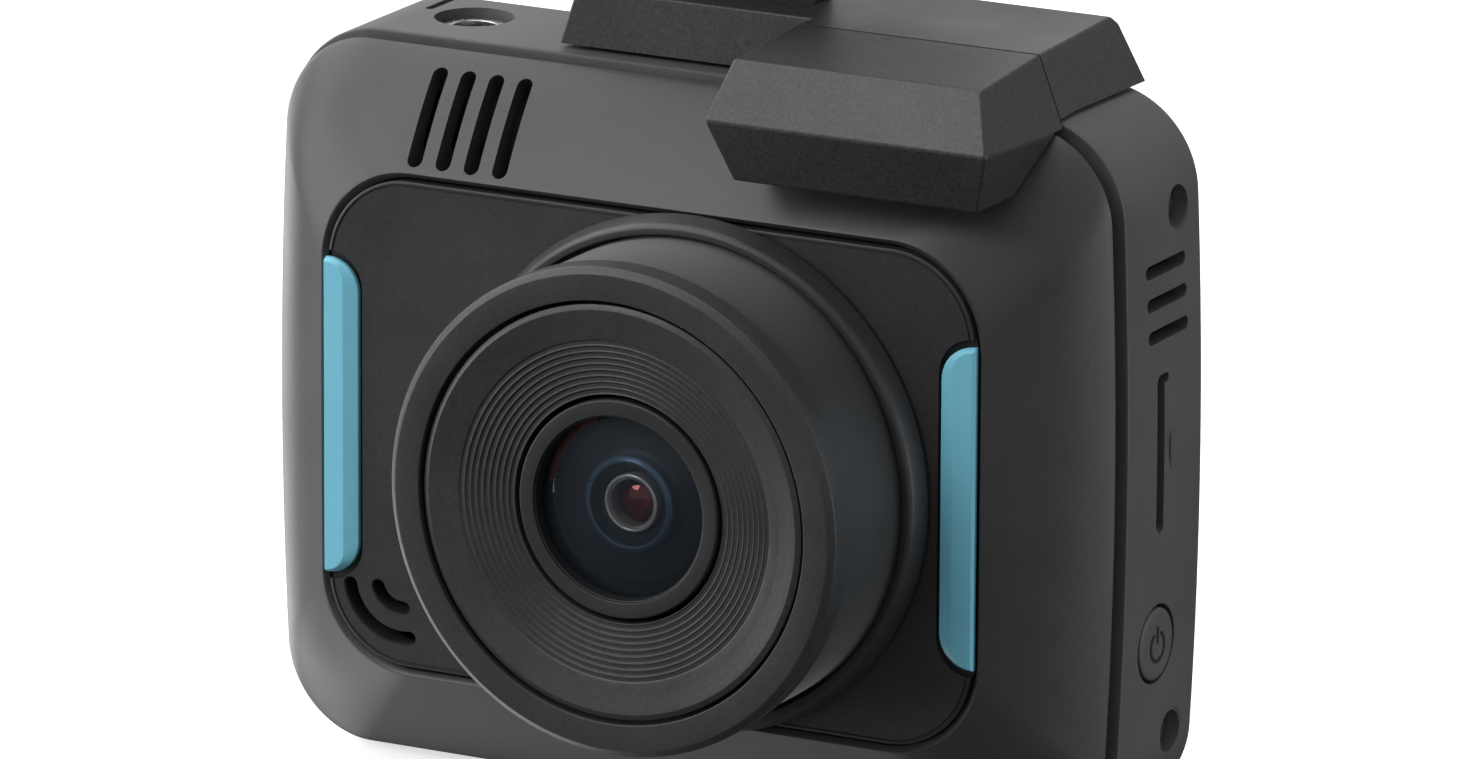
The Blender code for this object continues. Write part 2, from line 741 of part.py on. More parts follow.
def make_rear_keys():
    for name, height in zip(("key_menu", "key_up", "key_down", "key_ok"), key_heights()):
        cap = rounded_rectangle(0.0030, 0.0022, 0.0007)
        place = (KEY_X, 0.0230, height)
        key = prism(name, SATIN_BLACK, [cap], 0.0028, place, TO_FRONT)
        skirt = span_box(
            f"{name}_skirt", None, (KEY_X - 0.0039, 0.0213, height - 0.0031),
            (KEY_X + 0.0039, 0.0222, height + 0.0031),
        )
        combine(key, skirt, "UNION")
    board = span_box("key_board", BOARD_GREEN, (0.0245, 0.0189, -0.0190), (0.0321, 0.0197, 0.0190))
    for i, height in enumerate(key_heights()):
        dome = rod(f"dome_{i + 1}", None, 0.0014, 0.0012, (KEY_X, 0.0200, height), TO_FRONT, 16)
        combine(board, dome, "UNION")


def make_card():
    low, high = (0.0200, SLOT_Y - 0.00105, -0.0046), (0.0358, SLOT_Y + 0.00085, 0.0094)
    socket = span_box("microsd_socket", DARK_METAL, low, high)
    low, high = (0.0212, SLOT_Y - 0.0006, -0.0034), (0.0370, SLOT_Y + 0.0006, 0.0082)
    combine(socket, span_box("card_channel", None, low, high))
    low, high = (0.0222, SLOT_Y - 0.0003, -0.0031), (0.0372, SLOT_Y + 0.0003, 0.0079)
    span_box("microsd_card", CHIP_BLACK, low, high)


# ---------------------------------------------------------------- sockets and electronics
CONTACT_X = (0.0267, 0.0295)
CONTACT_Y = (0.0130, 0.0210)


def make_sockets():
    usb = span_box(
        "usb_socket", BRIGHT_METAL, (-0.0366, USB_Y - 0.0013, USB_Z - 0.00375),
        (-0.0316, USB_Y + 0.0013, USB_Z + 0.00375),
    )
    combine(usb, span_box(
        "usb_hollow", None, (-0.0380, USB_Y - 0.001, USB_Z - 0.0034),
        (-0.0326, USB_Y + 0.001, USB_Z + 0.0034),
    ))
    combine(usb, span_box(
        "usb_tongue", None, (-0.0362, USB_Y - 0.0003, USB_Z - 0.0026),
        (-0.0322, USB_Y + 0.0003, USB_Z + 0.0026),
    ), "UNION")
    jack = span_box(
        "av_jack", CHIP_BLACK, (JACK_X - 0.0027, JACK_Y - 0.0022, 0.0185),
        (JACK_X + 0.0027, JACK_Y + 0.0021, 0.0281),
    )
    combine(jack, rod("jack_bore", None, 0.00175, 0.016, (JACK_X, JACK_Y, 0.0275), (0.0, 0.0, 0.0), 20))
    bush = [(0.0018, 0.0006), (0.0026, 0.0006), (0.0029, 0.0004), (0.0029, -0.0006), (0.0018, -0.0006)]
    turned("jack_bush", BRIGHT_METAL, bush, (JACK_X, JACK_Y, 0.0290), (0.0, 0.0, 0.0), 28, closed=True)


def make_electronics():
    w, narrow, h, step, notch = 0.0342, 0.0282, 0.0250, 0.0184, -0.0210
    outline = [
        (-w, -step), (-narrow, -step), (-narrow, -h), (narrow, -h), (narrow, -step), (w, -step),
        (w, step), (narrow, step), (narrow, h), (notch, h), (notch, 0.0175), (-w, 0.0175),
    ]
    place = (0.0, BOARD_FRONT + BOARD_THICKNESS / 2, 0.0)
    prism("main_board", BOARD_GREEN, [outline], BOARD_THICKNESS, place, TO_FRONT)
    box("processor", CHIP_BLACK, (0.014, 0.0013, 0.014), (-0.008, 0.01525, -0.004))
    box("battery", CELL_WRAP, (0.034, 0.0042, 0.024), (-0.003, 0.0111, -0.001), bevel=0.0008)
    box("speaker", DARK_METAL, (0.015, 0.003, 0.0108), (-0.018, 0.0112, 0.0210), bevel=0.0006)
    rod("microphone", BRIGHT_METAL, 0.0026, 0.0022, (-0.0236, 0.0036, -0.0148), TO_FRONT, 20)


# ---------------------------------------------------------------- mount
MOUNT = new_empty("mount_slide", (RAIL_X, RAIL_FRONT, CASE_TOP), PANEL_CENTRE)
FOOT = new_empty("foot_hinge", (-RAIL_X, HINGE_Y - RAIL_FRONT, HINGE_Z - CASE_TOP), MOUNT)


def held(piece, empty):
    """Hangs a piece that was placed from the panel's centre on a moving empty."""
    piece.parent = empty
    origin = Vector((0.0, 0.0, 0.0))
    while empty is not PANEL_CENTRE:
        origin += empty.location
        empty = empty.parent
    piece.location = Vector(piece.location) - origin
    return piece


def tee_boxes(name, material, half_neck, half_head, heights, depths):
    """The neck and the head of a rail that runs along Y: heights of its foot, its step and its top."""
    low, step, high = heights
    front, back = depths
    neck = span_box(
        name, material, (RAIL_X - half_neck, front, low), (RAIL_X + half_neck, back, high - 0.0002)
    )
    head = span_box(
        f"{name}_head", None, (RAIL_X - half_head, front, step), (RAIL_X + half_head, back, high)
    )
    return neck, head


def case_clearance():
    """The case with a gap all round: what the mount's underside has to stay clear of."""
    grow, step = 0.00035, HOUSING_FRONT - 0.00045
    rings = [slope_ring(t, -grow, grow) for t in (0.0, 0.2, 0.4, 0.6, 0.75, 0.9, 1.0)]
    rings.append(flat_ring(1.0, step, grow))
    for y in (step, 0.030):
        rings.append([(x, y, z) for x, z in case_outline(-grow)])
    return loft("case_clearance", None, rings, capped=True)


def make_rail():
    heights = (CASE_TOP + GAP, 0.0320, 0.0332)
    neck, head = tee_boxes("mount_rail", MATTE_BLACK, 0.0020, 0.0050, heights, (RAIL_FRONT, RAIL_BACK))
    combine(neck, head, "UNION")
    low, high = (CONTACT_X[0], CONTACT_Y[0], CASE_TOP - 0.0014), (CONTACT_X[1], CONTACT_Y[1], CASE_TOP)
    span_box("contact_plate", GOLD, low, high)


def make_mount_bar(clearance):
    low_z, step_x, seam = 0.0284, 0.0079, SEAM_Y + GAP / 2
    foot = [(-0.0145, 0.0103), (step_x - 0.0006, 0.0103), (step_x - 0.0006, seam), (0.0330, seam),
            (0.0334, BAR_BACK), (-0.0145, BAR_BACK)]
    head = [(-0.0126, 0.0112), (step_x + 0.0010, 0.0112), (step_x + 0.0010, seam), (0.0304, seam),
            (0.0295, BAR_BACK), (-0.0126, BAR_BACK)]
    rings = []
    for z, drawn_in in ((low_z, 0.0), (BAR_TOP - 0.0007, 0.0), (BAR_TOP, 0.0007)):
        share = (z - low_z) / (BAR_TOP - low_z)
        ring = [Vector(a).lerp(Vector(b), share) for a, b in zip(foot, head)]
        rings.append([(p.x, min(p.y, BAR_BACK - drawn_in), z) for p in ring])
    bar = held(loft("mount_bar", MATTE_BLACK, rings, capped=True), MOUNT)
    combine(bar, clearance)
    heights = (0.0280, 0.0317, 0.0335)
    for channel in tee_boxes("rail_channel", None, 0.0023, 0.0053, heights, (RAIL_FRONT - GAP, 0.0270)):
        combine(bar, channel)
    combine(bar, span_box("hinge_well", None, (-0.0070, 0.0139, 0.0315), (0.0070, 0.0211, 0.0370)))
    combine(bar, rod("pin_hole", None, 0.0011, 0.0196, (0.0, HINGE_Y, HINGE_Z), TO_RIGHT, 20))
    low = (CONTACT_X[0] - 2 * GAP, CONTACT_Y[0] - GAP, 0.028)
    high = (CONTACT_X[1] + 2 * GAP, CONTACT_Y[1] + GAP, 0.0334)
    combine(bar, span_box("pins_pocket", None, low, high))
    return bar


def make_mount_pod(clearance):
    """Both ends lean: each pair of end facets is flat, and they meet at the pod's widest edge."""
    seam = SEAM_Y - GAP / 2
    low = [(0.00878, seam, 0.02495), (0.03109, seam, 0.02495), (0.03073, -0.0026, 0.02495),
           (0.0091, -0.0026, 0.02495)]
    widest = [(0.00728, seam, 0.0294), (0.03265, seam, 0.0294), (0.03241, -0.0045, 0.03002),
              (0.00744, -0.0045, 0.03002)]
    top = [(0.00887, seam, BAR_TOP), (0.03038, seam, BAR_TOP), (0.03063, -0.0019, 0.03465),
           (0.0087, -0.0019, 0.03465)]
    pod = held(loft("mount_pod", MATTE_BLACK, [low, widest, top], capped=True), MOUNT)
    combine(pod, clearance)
    return pod


def make_gps(bar, pod):
    x0, x1, y0, y1 = 0.0112, 0.0288, -0.0010, 0.0118
    pocket = span_box("gps_pocket", None, (x0, y0, 0.0309), (x1, y1, 0.0338))
    combine(bar, pocket)
    combine(pod, pocket)
    board = span_box("gps_board", BOARD_GREEN, (x0 + GAP, y0 + GAP, 0.0312), (x1 - GAP, y1 - GAP, 0.0320))
    patch = span_box("gps_antenna", CERAMIC, (0.0140, -0.0004, 0.0323), (0.0260, 0.0108, 0.0335))
    low, high = (CONTACT_X[0] - GAP, CONTACT_Y[0], 0.0312), (CONTACT_X[1] + GAP, CONTACT_Y[1], 0.0331)
    pins = span_box("contact_pins", CHIP_BLACK, low, high)
    for i in range(4):
        place = (sum(CONTACT_X) / 2, 0.0147 + 0.0015 * i, 0.0311)
        combine(pins, rod(f"pin_{i + 1}", None, 0.0004, 0.001, place, (0.0, 0.0, 0.0), 12), "UNION")
    for piece in (board, patch, pins):
        held(piece, MOUNT)


def make_foot():
    held(rod("hinge_pin", BRIGHT_METAL, 0.0008, 0.0190, (0.0, HINGE_Y, HINGE_Z), TO_RIGHT, 20), MOUNT)
    knuckle, half = 0.0018, 0.0015
    lean = math.degrees(math.acos(half / knuckle))
    outline = arc((0.0, 0.0), knuckle, 180 - lean, 360 + lean, 14)
    outline += [(half, 0.0132), (-half, 0.0132)]
    place = (0.0, HINGE_Y, HINGE_Z)
    foot = prism("windscreen_foot", MATTE_BLACK, [outline], 0.0132, place, ALONG_SIDE)
    half_w, half_d = FOOT_SIZE[0] / 2, FOOT_SIZE[1] / 2
    plate = prism(
        "foot_plate", None, [rounded_rectangle(half_w, half_d, 0.005, 5)], FOOT_THICKNESS,
        (0.0, HINGE_Y, FOOT_BOTTOM + FOOT_THICKNESS / 2), (0.0, 0.0, 0.0),
    )
    combine(foot, plate, "UNION")
    combine(foot, rod("foot_bore", None, 0.0011, 0.020, place, TO_RIGHT, 20))
    pad = prism(
        "adhesive_pad", FOAM, [rounded_rectangle(half_w - 0.001, half_d - 0.001, 0.0042, 5)],
        PAD_THICKNESS, (0.0, HINGE_Y, PAD_TOP - PAD_THICKNESS / 2), (0.0, 0.0, 0.0),
    )
    held(foot, FOOT)
    held(pad, FOOT)


def main():
    make_front_bezel()
    make_front_panel()
    make_accent_bar("accent_bar_left", -1)
    make_accent_bar("accent_bar_right", 1)
    make_lens_shell()
    make_lens_inside()
    make_main_housing()
    make_rear_cover()
    make_display()
    make_case_screws()
    make_power_button()
    make_rear_keys()
    make_card()
    make_sockets()
    make_electronics()
    make_rail()
    clearance = case_clearance()
    bar = make_mount_bar(clearance)
    pod = make_mount_pod(clearance)
    make_gps(bar, pod)
    make_foot()


main()
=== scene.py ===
"""Looks for the dash camera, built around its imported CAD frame. Metres, +Z up, front towards -Y.

Pieces are given in millimetres from the centre of the front panel's face, and at() turns that
into metres in the row frame. The floor, the lights and the camera are in metres. The pieces repeat
the CAD shapes of the nodes that they stand for, with finer outlines, rounded edges and details.
"""

import json
import math

import bmesh
import bpy
from mathutils import Matrix, Vector


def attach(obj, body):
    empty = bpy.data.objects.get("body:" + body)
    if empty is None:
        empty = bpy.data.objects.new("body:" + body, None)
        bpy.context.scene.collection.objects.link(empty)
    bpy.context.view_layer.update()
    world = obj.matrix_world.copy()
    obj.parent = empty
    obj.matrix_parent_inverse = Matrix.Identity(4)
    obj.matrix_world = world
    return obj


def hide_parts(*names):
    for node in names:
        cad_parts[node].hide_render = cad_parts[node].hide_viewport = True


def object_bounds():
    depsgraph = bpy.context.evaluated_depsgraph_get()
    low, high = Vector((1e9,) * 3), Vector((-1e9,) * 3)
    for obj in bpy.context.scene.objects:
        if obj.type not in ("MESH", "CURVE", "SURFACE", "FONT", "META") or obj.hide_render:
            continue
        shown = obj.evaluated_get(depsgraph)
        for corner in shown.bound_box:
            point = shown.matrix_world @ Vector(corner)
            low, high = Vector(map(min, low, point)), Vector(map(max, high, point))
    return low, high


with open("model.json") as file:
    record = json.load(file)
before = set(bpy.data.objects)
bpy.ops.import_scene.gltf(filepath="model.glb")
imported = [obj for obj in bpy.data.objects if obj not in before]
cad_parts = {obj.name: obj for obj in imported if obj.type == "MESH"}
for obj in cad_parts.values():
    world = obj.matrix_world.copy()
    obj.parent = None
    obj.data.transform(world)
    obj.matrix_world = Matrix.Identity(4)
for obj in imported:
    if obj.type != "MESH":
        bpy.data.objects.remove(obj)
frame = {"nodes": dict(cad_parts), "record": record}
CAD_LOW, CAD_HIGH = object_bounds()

NODES = frame["nodes"]
SLOTS = {row["node"]: row["material_slot"] for row in frame["record"]["subparts"]}
CENTRE = Vector((0.0, -7.75, 30.3))
SHARP_ANGLE = 34.0

# Half sizes of the case and the panel, with their corner radii.
CASE_WIDE, CASE_HIGH, CASE_RADIUS, CASE_BOW = 38.6, 30.3, 8.0, 0.027
PANEL_WIDE, PANEL_HIGH, PANEL_RADIUS = 29.35, 20.4, 7.4

# Axes of round things: (x, z) at the front, (y, z) at the sides, (x, y) on top.
LENS_AXIS = (4.235, -0.32)
ARC_SLOT_CENTRE = (-22.6, -13.2)
BUTTON_AXIS = (14.9, -13.55)
JACK_AXIS = (-24.9, 16.3)
SCREW_Y, SCREW_Z = 18.4, 21.8

# The pod ends at its seam, and the bar begins a gap behind it.
POD_SEAM, BAR_FRONT = 8.65, 8.95


def at(x, y, z):
    return (Vector((x, y, z)) + CENTRE) / 1000


# ---------------------------------------------------------------- materials
def shader_setup(name):
    material = bpy.data.materials.new(name)
    material.use_nodes = True
    tree = material.node_tree
    return material, tree, tree.nodes["Principled BSDF"]


def coordinates(tree):
    return tree.nodes.new("ShaderNodeTexCoord").outputs["Object"]


def noise(tree, vector, scale, detail, rough=0.55):
    node = tree.nodes.new("ShaderNodeTexNoise")
    node.inputs["Scale"].default_value = scale
    node.inputs["Detail"].default_value = detail
    node.inputs["Roughness"].default_value = rough
    tree.links.new(vector, node.inputs["Vector"])
    return node.outputs["Fac"]


def ramp(tree, value, stops):
    node = tree.nodes.new("ShaderNodeValToRGB")
    elements = node.color_ramp.elements
    while len(elements) < len(stops):
        elements.new(0.5)
    for element, (position, colour) in zip(elements, stops):
        element.position = position
        element.color = (*colour, 1.0)
    tree.links.new(value, node.inputs["Fac"])
    return node.outputs["Color"]


def grey_range(tree, value, low, high):
    node = tree.nodes.new("ShaderNodeMapRange")
    node.inputs["From Min"].default_value = 0.3
    node.inputs["From Max"].default_value = 0.7
    node.inputs["To Min"].default_value = low
    node.inputs["To Max"].default_value = high
    tree.links.new(value, node.inputs["Value"])
    return node.outputs["Result"]


def bump(tree, height, strength, distance, under=None):
    node = tree.nodes.new("ShaderNodeBump")
    node.inputs["Strength"].default_value = strength
    node.inputs["Distance"].default_value = distance
    tree.links.new(height, node.inputs["Height"])
    if under is not None:
        tree.links.new(under, node.inputs["Normal"])
    return node.outputs["Normal"]


def tinted(colour, factor):
    return tuple(min(1.0, c * factor) for c in colour)


def moulded(name, colour, roughness, grain_scale, grain_depth, spread=0.10, sheen=0.0, pit_shade=0.12):
    """Moulded plastic: a spark-eroded grain, and a slow mottle in its colour and its gloss.

    The grain's depth is in metres. The spread is the mottle's share of the colour, and the pit
    shade is how much darker the grain's pits are painted: painted shade in the pits.
    """
    material, tree, shader = shader_setup(name)
    place = coordinates(tree)
    slow = noise(tree, place, 90.0, 3.0)
    fine = noise(tree, place, grain_scale, 3.0, 0.6)
    coarse = noise(tree, place, grain_scale * 0.38, 2.0)
    dark, pale = tinted(colour, 1 - spread), tinted(colour, 1 + spread)
    mottle = ramp(tree, slow, [(0.3, dark), (0.7, pale)])
    # Painted shade: the grain's pits, the low parts of the noise that the bump also uses, are
    # darkened in colour.
    pit_shading = ramp(tree, fine, [(0.3, (1 - pit_shade,) * 3), (0.7, (1.0, 1.0, 1.0))])
    both = tree.nodes.new("ShaderNodeMix")
    both.data_type = "RGBA"
    both.blend_type = "MULTIPLY"
    both.inputs["Factor"].default_value = 1.0
    tree.links.new(mottle, both.inputs["A"])
    tree.links.new(pit_shading, both.inputs["B"])
    tree.links.new(both.outputs["Result"], shader.inputs["Base Color"])
    tree.links.new(
        grey_range(tree, slow, roughness - 0.04, roughness + 0.04), shader.inputs["Roughness"]
    )
    under = bump(tree, coarse, 0.6, grain_depth * 1.4)
    tree.links.new(bump(tree, fine, 0.8, grain_depth, under), shader.inputs["Normal"])
    shader.inputs["Sheen Weight"].default_value = sheen
    shader.inputs["Sheen Roughness"].default_value = 0.45
    return material


def metal(name, colour, roughness, amount=1.0, scale=1800.0):
    """Metal, or a coating that is metallic by this amount, with streaks in its gloss."""
    material, tree, shader = shader_setup(name)
    place = coordinates(tree)
    streaks = noise(tree, place, scale, 5.0)
    slow = noise(tree, place, 250.0, 2.0)
    tree.links.new(
        ramp(tree, slow, [(0.3, tinted(colour, 0.88)), (0.7, tinted(colour, 1.06))]),
        shader.inputs["Base Color"],
    )
    tree.links.new(
        grey_range(tree, streaks, max(0.0, roughness - 0.06), roughness + 0.08),
        shader.inputs["Roughness"],
    )
    tree.links.new(bump(tree, streaks, 0.3, 0.000003), shader.inputs["Normal"])
    shader.inputs["Metallic"].default_value = amount
    return material


def board(name, colour):
    """A circuit board: solder resist over tracks, which show lighter and slightly raised."""
    material, tree, shader = shader_setup(name)
    place = coordinates(tree)
    tracks = tree.nodes.new("ShaderNodeTexVoronoi")
    tracks.feature = "DISTANCE_TO_EDGE"
    tracks.inputs["Scale"].default_value = 420.0
    tree.links.new(place, tracks.inputs["Vector"])
    tree.links.new(
        ramp(tree, tracks.outputs["Distance"],
             [(0.04, tinted(colour, 2.2)), (0.10, colour), (0.5, tinted(colour, 0.8))]),
        shader.inputs["Base Color"],
    )
    tree.links.new(bump(tree, tracks.outputs["Distance"], 0.2, 0.00002), shader.inputs["Normal"])
    shader.inputs["Roughness"].default_value = 0.38
    return material


def coated_glass(name, tint, sheen, index, haze=0.0):
    """Thin glass: light goes straight through, its coating mirrors some, and haze scatters some."""
    material, tree, shader = shader_setup(name)
    specks = noise(tree, coordinates(tree), 500.0, 2.0)
    clear = tree.nodes.new("ShaderNodeBsdfTransparent")
    clear.inputs["Color"].default_value = (*tint, 1.0)
    mirror = tree.nodes.new("ShaderNodeBsdfGlossy")
    tree.links.new(
        ramp(tree, specks, [(0.3, tinted(sheen, 0.9)), (0.7, tinted(sheen, 1.1))]),
        mirror.inputs["Color"],
    )
    tree.links.new(grey_range(tree, specks, 0.02, 0.06), mirror.inputs["Roughness"])
    edge = tree.nodes.new("ShaderNodeFresnel")
    edge.inputs["IOR"].default_value = index
    mixed = tree.nodes.new("ShaderNodeMixShader")
    tree.links.new(edge.outputs["Fac"], mixed.inputs["Fac"])
    tree.links.new(clear.outputs["BSDF"], mixed.inputs[1])
    tree.links.new(mirror.outputs["BSDF"], mixed.inputs[2])
    bloom = tree.nodes.new("ShaderNodeBsdfDiffuse")
    bloom.inputs["Color"].default_value = (*sheen, 1.0)
    hazed = tree.nodes.new("ShaderNodeMixShader")
    hazed.inputs["Fac"].default_value = haze
    tree.links.new(mixed.outputs["Shader"], hazed.inputs[1])
    tree.links.new(bloom.outputs["BSDF"], hazed.inputs[2])
    tree.nodes.remove(shader)
    tree.links.new(hazed.outputs["Shader"], tree.nodes["Material Output"].inputs["Surface"])
    return material


def screen(name):
    """The display when it's off: near-black glass with faint smears in its gloss."""
    material, tree, shader = shader_setup(name)
    smear = noise(tree, coordinates(tree), 60.0, 5.0, 0.7)
    tree.links.new(
        ramp(tree, smear, [(0.3, (0.006, 0.007, 0.009)), (0.7, (0.010, 0.011, 0.013))]),
        shader.inputs["Base Color"],
    )
    tree.links.new(grey_range(tree, smear, 0.04, 0.12), shader.inputs["Roughness"])
    return material


def pale_stage(name, shade):
    """The floor: pale, and bright enough that soft shadows only just show on it."""
    material, tree, shader = shader_setup(name)
    slow = noise(tree, coordinates(tree), 3.0, 2.0)
    tone = ramp(tree, slow, [(0.3, (shade * 0.995,) * 3), (0.7, (shade,) * 3)])
    tree.links.new(tone, shader.inputs["Base Color"])
    tree.links.new(tone, shader.inputs["Emission Color"])
    shader.inputs["Emission Strength"].default_value = 0.75
    shader.inputs["Roughness"].default_value = 0.9
    shader.inputs["Specular IOR Level"].default_value = 0.1
    return material


MATERIALS = {
    "satin_black": moulded(
        "satin_plastic", (0.048, 0.048, 0.051), 0.42, 3000.0, 0.000012, pit_shade=0.30
    ),
    "matte_black": moulded(
        "grained_plastic", (0.056, 0.057, 0.062), 0.44, 3400.0, 0.000022, spread=0.06, pit_shade=0.55
    ),
    "deep_black": moulded(
        "baffle_black", (0.060, 0.060, 0.062), 0.36, 3000.0, 0.000010, pit_shade=0.30
    ),
    "accent_blue": moulded(
        "blue_plastic", (0.270, 0.770, 1.000), 0.38, 4200.0, 0.000005, spread=0.04, pit_shade=0.03
    ),
    "lens_glass": coated_glass(
        "coated_glass", (0.86, 0.90, 0.95), (0.66, 0.82, 1.0), 1.42, haze=0.019
    ),
    "screen_glass": screen("dark_screen"),
    "bright_metal": metal("plated_metal", (0.72, 0.72, 0.74), 0.24),
    "dark_metal": metal("stamped_metal", (0.22, 0.22, 0.23), 0.36),
    "board_green": board("solder_resist", (0.012, 0.10, 0.045)),
    "chip_black": moulded("epoxy_black", (0.020, 0.020, 0.022), 0.45, 5000.0, 0.000008),
    "cell_wrap": moulded("cell_wrap", (0.10, 0.13, 0.20), 0.40, 2600.0, 0.000010),
    "ribbon": moulded("ribbon_amber", (0.42, 0.20, 0.035), 0.35, 2600.0, 0.000006),
    "ceramic": moulded("fired_ceramic", (0.58, 0.50, 0.38), 0.55, 3800.0, 0.000012),
    "gold": metal("gold_plate", (0.80, 0.58, 0.22), 0.28),
    "foam_pad": moulded("foam_rubber", (0.045, 0.045, 0.047), 0.85, 1500.0, 0.000060),
}

# Finishes of single pieces, which differ a little from their slot's.
# Painted reflection: the blue of the ring round the iris stands in for the coating's blue
# reflection.
PAINTED_BLUE_REFLECTION = metal("painted_blue_reflection", (0.110, 0.170, 0.240), 0.30, 0.4, 400.0)
# Painted reflection: the red crescent inside the lens gets its red from this colour, not from any
# reflection.
PAINTED_RED_REFLECTION = moulded("painted_red_reflection", (0.420, 0.090, 0.060), 0.25, 4200.0, 0.000002)
BEZEL_BLACK = moulded("bezel_plastic", (0.064, 0.064, 0.067), 0.42, 3600.0, 0.000010)
HOUSING_GREY = moulded("housing_plastic", (0.104, 0.107, 0.112), 0.52, 3000.0, 0.000014)
BARREL_BLACK = moulded(
    "barrel_plastic", (0.010, 0.010, 0.011), 0.46, 3600.0, 0.000011, sheen=0.42
)
CELL_BLACK = moulded("cell_black", (0.008, 0.008, 0.009), 0.60, 4200.0, 0.000003)
CLEAR_GLASS = coated_glass("clear_glass", (0.95, 0.96, 0.98), (0.1, 0.1, 0.1), 1.01)
RING_BLACK = moulded("ring_plastic", (0.038, 0.038, 0.040), 0.40, 3600.0, 0.000009)
IRIS_METAL = metal("iris_metal", (1.0, 0.90, 0.78), 0.18, 0.65, 400.0)
RUBY_GLASS = coated_glass("ruby_glass", (0.45, 0.08, 0.08), (1.0, 0.30, 0.28), 2.3)
SYMBOL_GREY = moulded("symbol_grey", (0.020, 0.020, 0.021), 0.36, 4200.0, 0.000004)


# ---------------------------------------------------------------- outlines, in millimetres
def arc(centre, radius, start, end, steps):
    turns = [math.radians(start + (end - start) * i / steps) for i in range(steps + 1)]
    return [(centre[0] + radius * math.cos(a), centre[1] + radius * math.sin(a)) for a in turns]


def rounded_rectangle(half_width, half_height, radius, steps=20):
    x, y = half_width - radius, half_height - radius
    points = []
    for (sx, sy), start in zip(((1, 1), (-1, 1), (-1, -1), (1, -1)), (0, 90, 180, 270)):
        points += arc((sx * x, sy * y), radius, start, start + 90, steps)
    return points


CORNER_STEPS, BETWEEN, SLOT_STEPS, FILLET_STEPS = 22, 14, 24, 4


def framed_outline(half_width, half_height, radius, bow):
    """A rounded rectangle with points along its sides, which bow inwards at their ends."""
    corners = rounded_rectangle(half_width, half_height, radius, CORNER_STEPS)
    points = []
    for side in range(4):
        points += corners[side * (CORNER_STEPS + 1) : (side + 1) * (CORNER_STEPS + 1)]
        start = Vector(points[-1])
        end = Vector(corners[(side + 1) * (CORNER_STEPS + 1) % len(corners)])
        points += [tuple(start.lerp(end, (i + 1) / (BETWEEN + 1))) for i in range(BETWEEN)]
    return [(x * (1 - bow * (z / half_height) ** 2), z) for x, z in points]


def side_shares():
    """For each point of a framed outline, 0 where it faces up or down and 1 where sideways."""
    shares = []
    for side in range(4):
        for step in range(CORNER_STEPS + 1):
            shares.append(math.cos(math.radians(90 * (side + step / CORNER_STEPS))) ** 2)
        shares += [float(side % 2)] * BETWEEN
    return shares


def case_outline(inset):
    radius = max(CASE_RADIUS - inset, 1.0)
    return framed_outline(CASE_WIDE - inset, CASE_HIGH - inset, radius, CASE_BOW)


def stadium(length, width):
    end = (length - width) / 2
    return arc((end, 0.0), width / 2, -90, 90, 10) + arc((-end, 0.0), width / 2, 90, 270, 10)


def curved_slot(centre, radius, width, start, end):
    outer = arc(centre, radius + width / 2, start, end, SLOT_STEPS)
    inner = arc(centre, radius - width / 2, end, start, SLOT_STEPS)
    far = arc(centre, radius, end, end, 1)[0]
    near = arc(centre, radius, start, start, 1)[0]
    far_cap = arc(far, width / 2, end, end + 180, 8)[1:-1]
    near_cap = arc(near, width / 2, start + 180, start + 360, 8)[1:-1]
    return outer + far_cap + inner + near_cap


def filleted(profile, radius, closed=True):
    """A profile with each corner rounded, by at most 0.45 of its shorter side."""
    found = []
    count = len(profile)
    for i, corner in enumerate(profile):
        if not closed and i in (0, count - 1):
            found.append(corner)
            continue
        here = Vector(corner)
        before = Vector(profile[i - 1]) - here
        after = Vector(profile[(i + 1) % count]) - here
        reach = min(radius, 0.45 * before.length, 0.45 * after.length)
        first = here + before.normalized() * reach
        last = here + after.normalized() * reach
        for k in range(FILLET_STEPS + 1):
            t = k / FILLET_STEPS
            point = first * (1 - t) ** 2 + here * 2 * t * (1 - t) + last * t**2
            found.append(tuple(point))
    return found


# ---------------------------------------------------------------- pieces
def finished(name, bm, material, sharp):
    """A mesh object from a bmesh in millimetres about the panel's centre."""
    bmesh.ops.recalc_face_normals(bm, faces=bm.faces)
    for vert in bm.verts:
        vert.co = at(*vert.co)
    mesh = bpy.data.meshes.new(name)
    bm.to_mesh(mesh)
    bm.free()
    made = bpy.data.objects.new(name, mesh)
    bpy.context.scene.collection.objects.link(made)
    if material is not None:
        mesh.materials.append(material)
    mesh.shade_smooth()
    mesh.set_sharp_from_angle(angle=math.radians(sharp))
    return made


def lofted(name, material, rings, capped=False, sharp=SHARP_ANGLE):
    """A skin over rings of equally many points, closed by its two ends or into a loop."""
    bm = bmesh.new()
    rows = [[bm.verts.new(point) for point in ring] for ring in rings]
    pairs = list(zip(rows, rows[1:]))
    if not capped:
        pairs.append((rows[-1], rows[0]))
    for low, high in pairs:
        for i in range(len(low)):
            j = (i + 1) % len(low)
            bm.faces.new((low[i], low[j], high[j], high[i]))
    if capped:
        bm.faces.new(rows[0])
        bm.faces.new(rows[-1])
    return finished(name, bm, material, sharp)


def flat_ring(outline, y):
    return [(x, y, z) for x, z in outline]


def plate(name, material, outline, front, back):
    """A plate facing the front, between these two depths."""
    rings = [flat_ring(outline, back), flat_ring(outline, front)]
    return lofted(name, material, rings, capped=True)


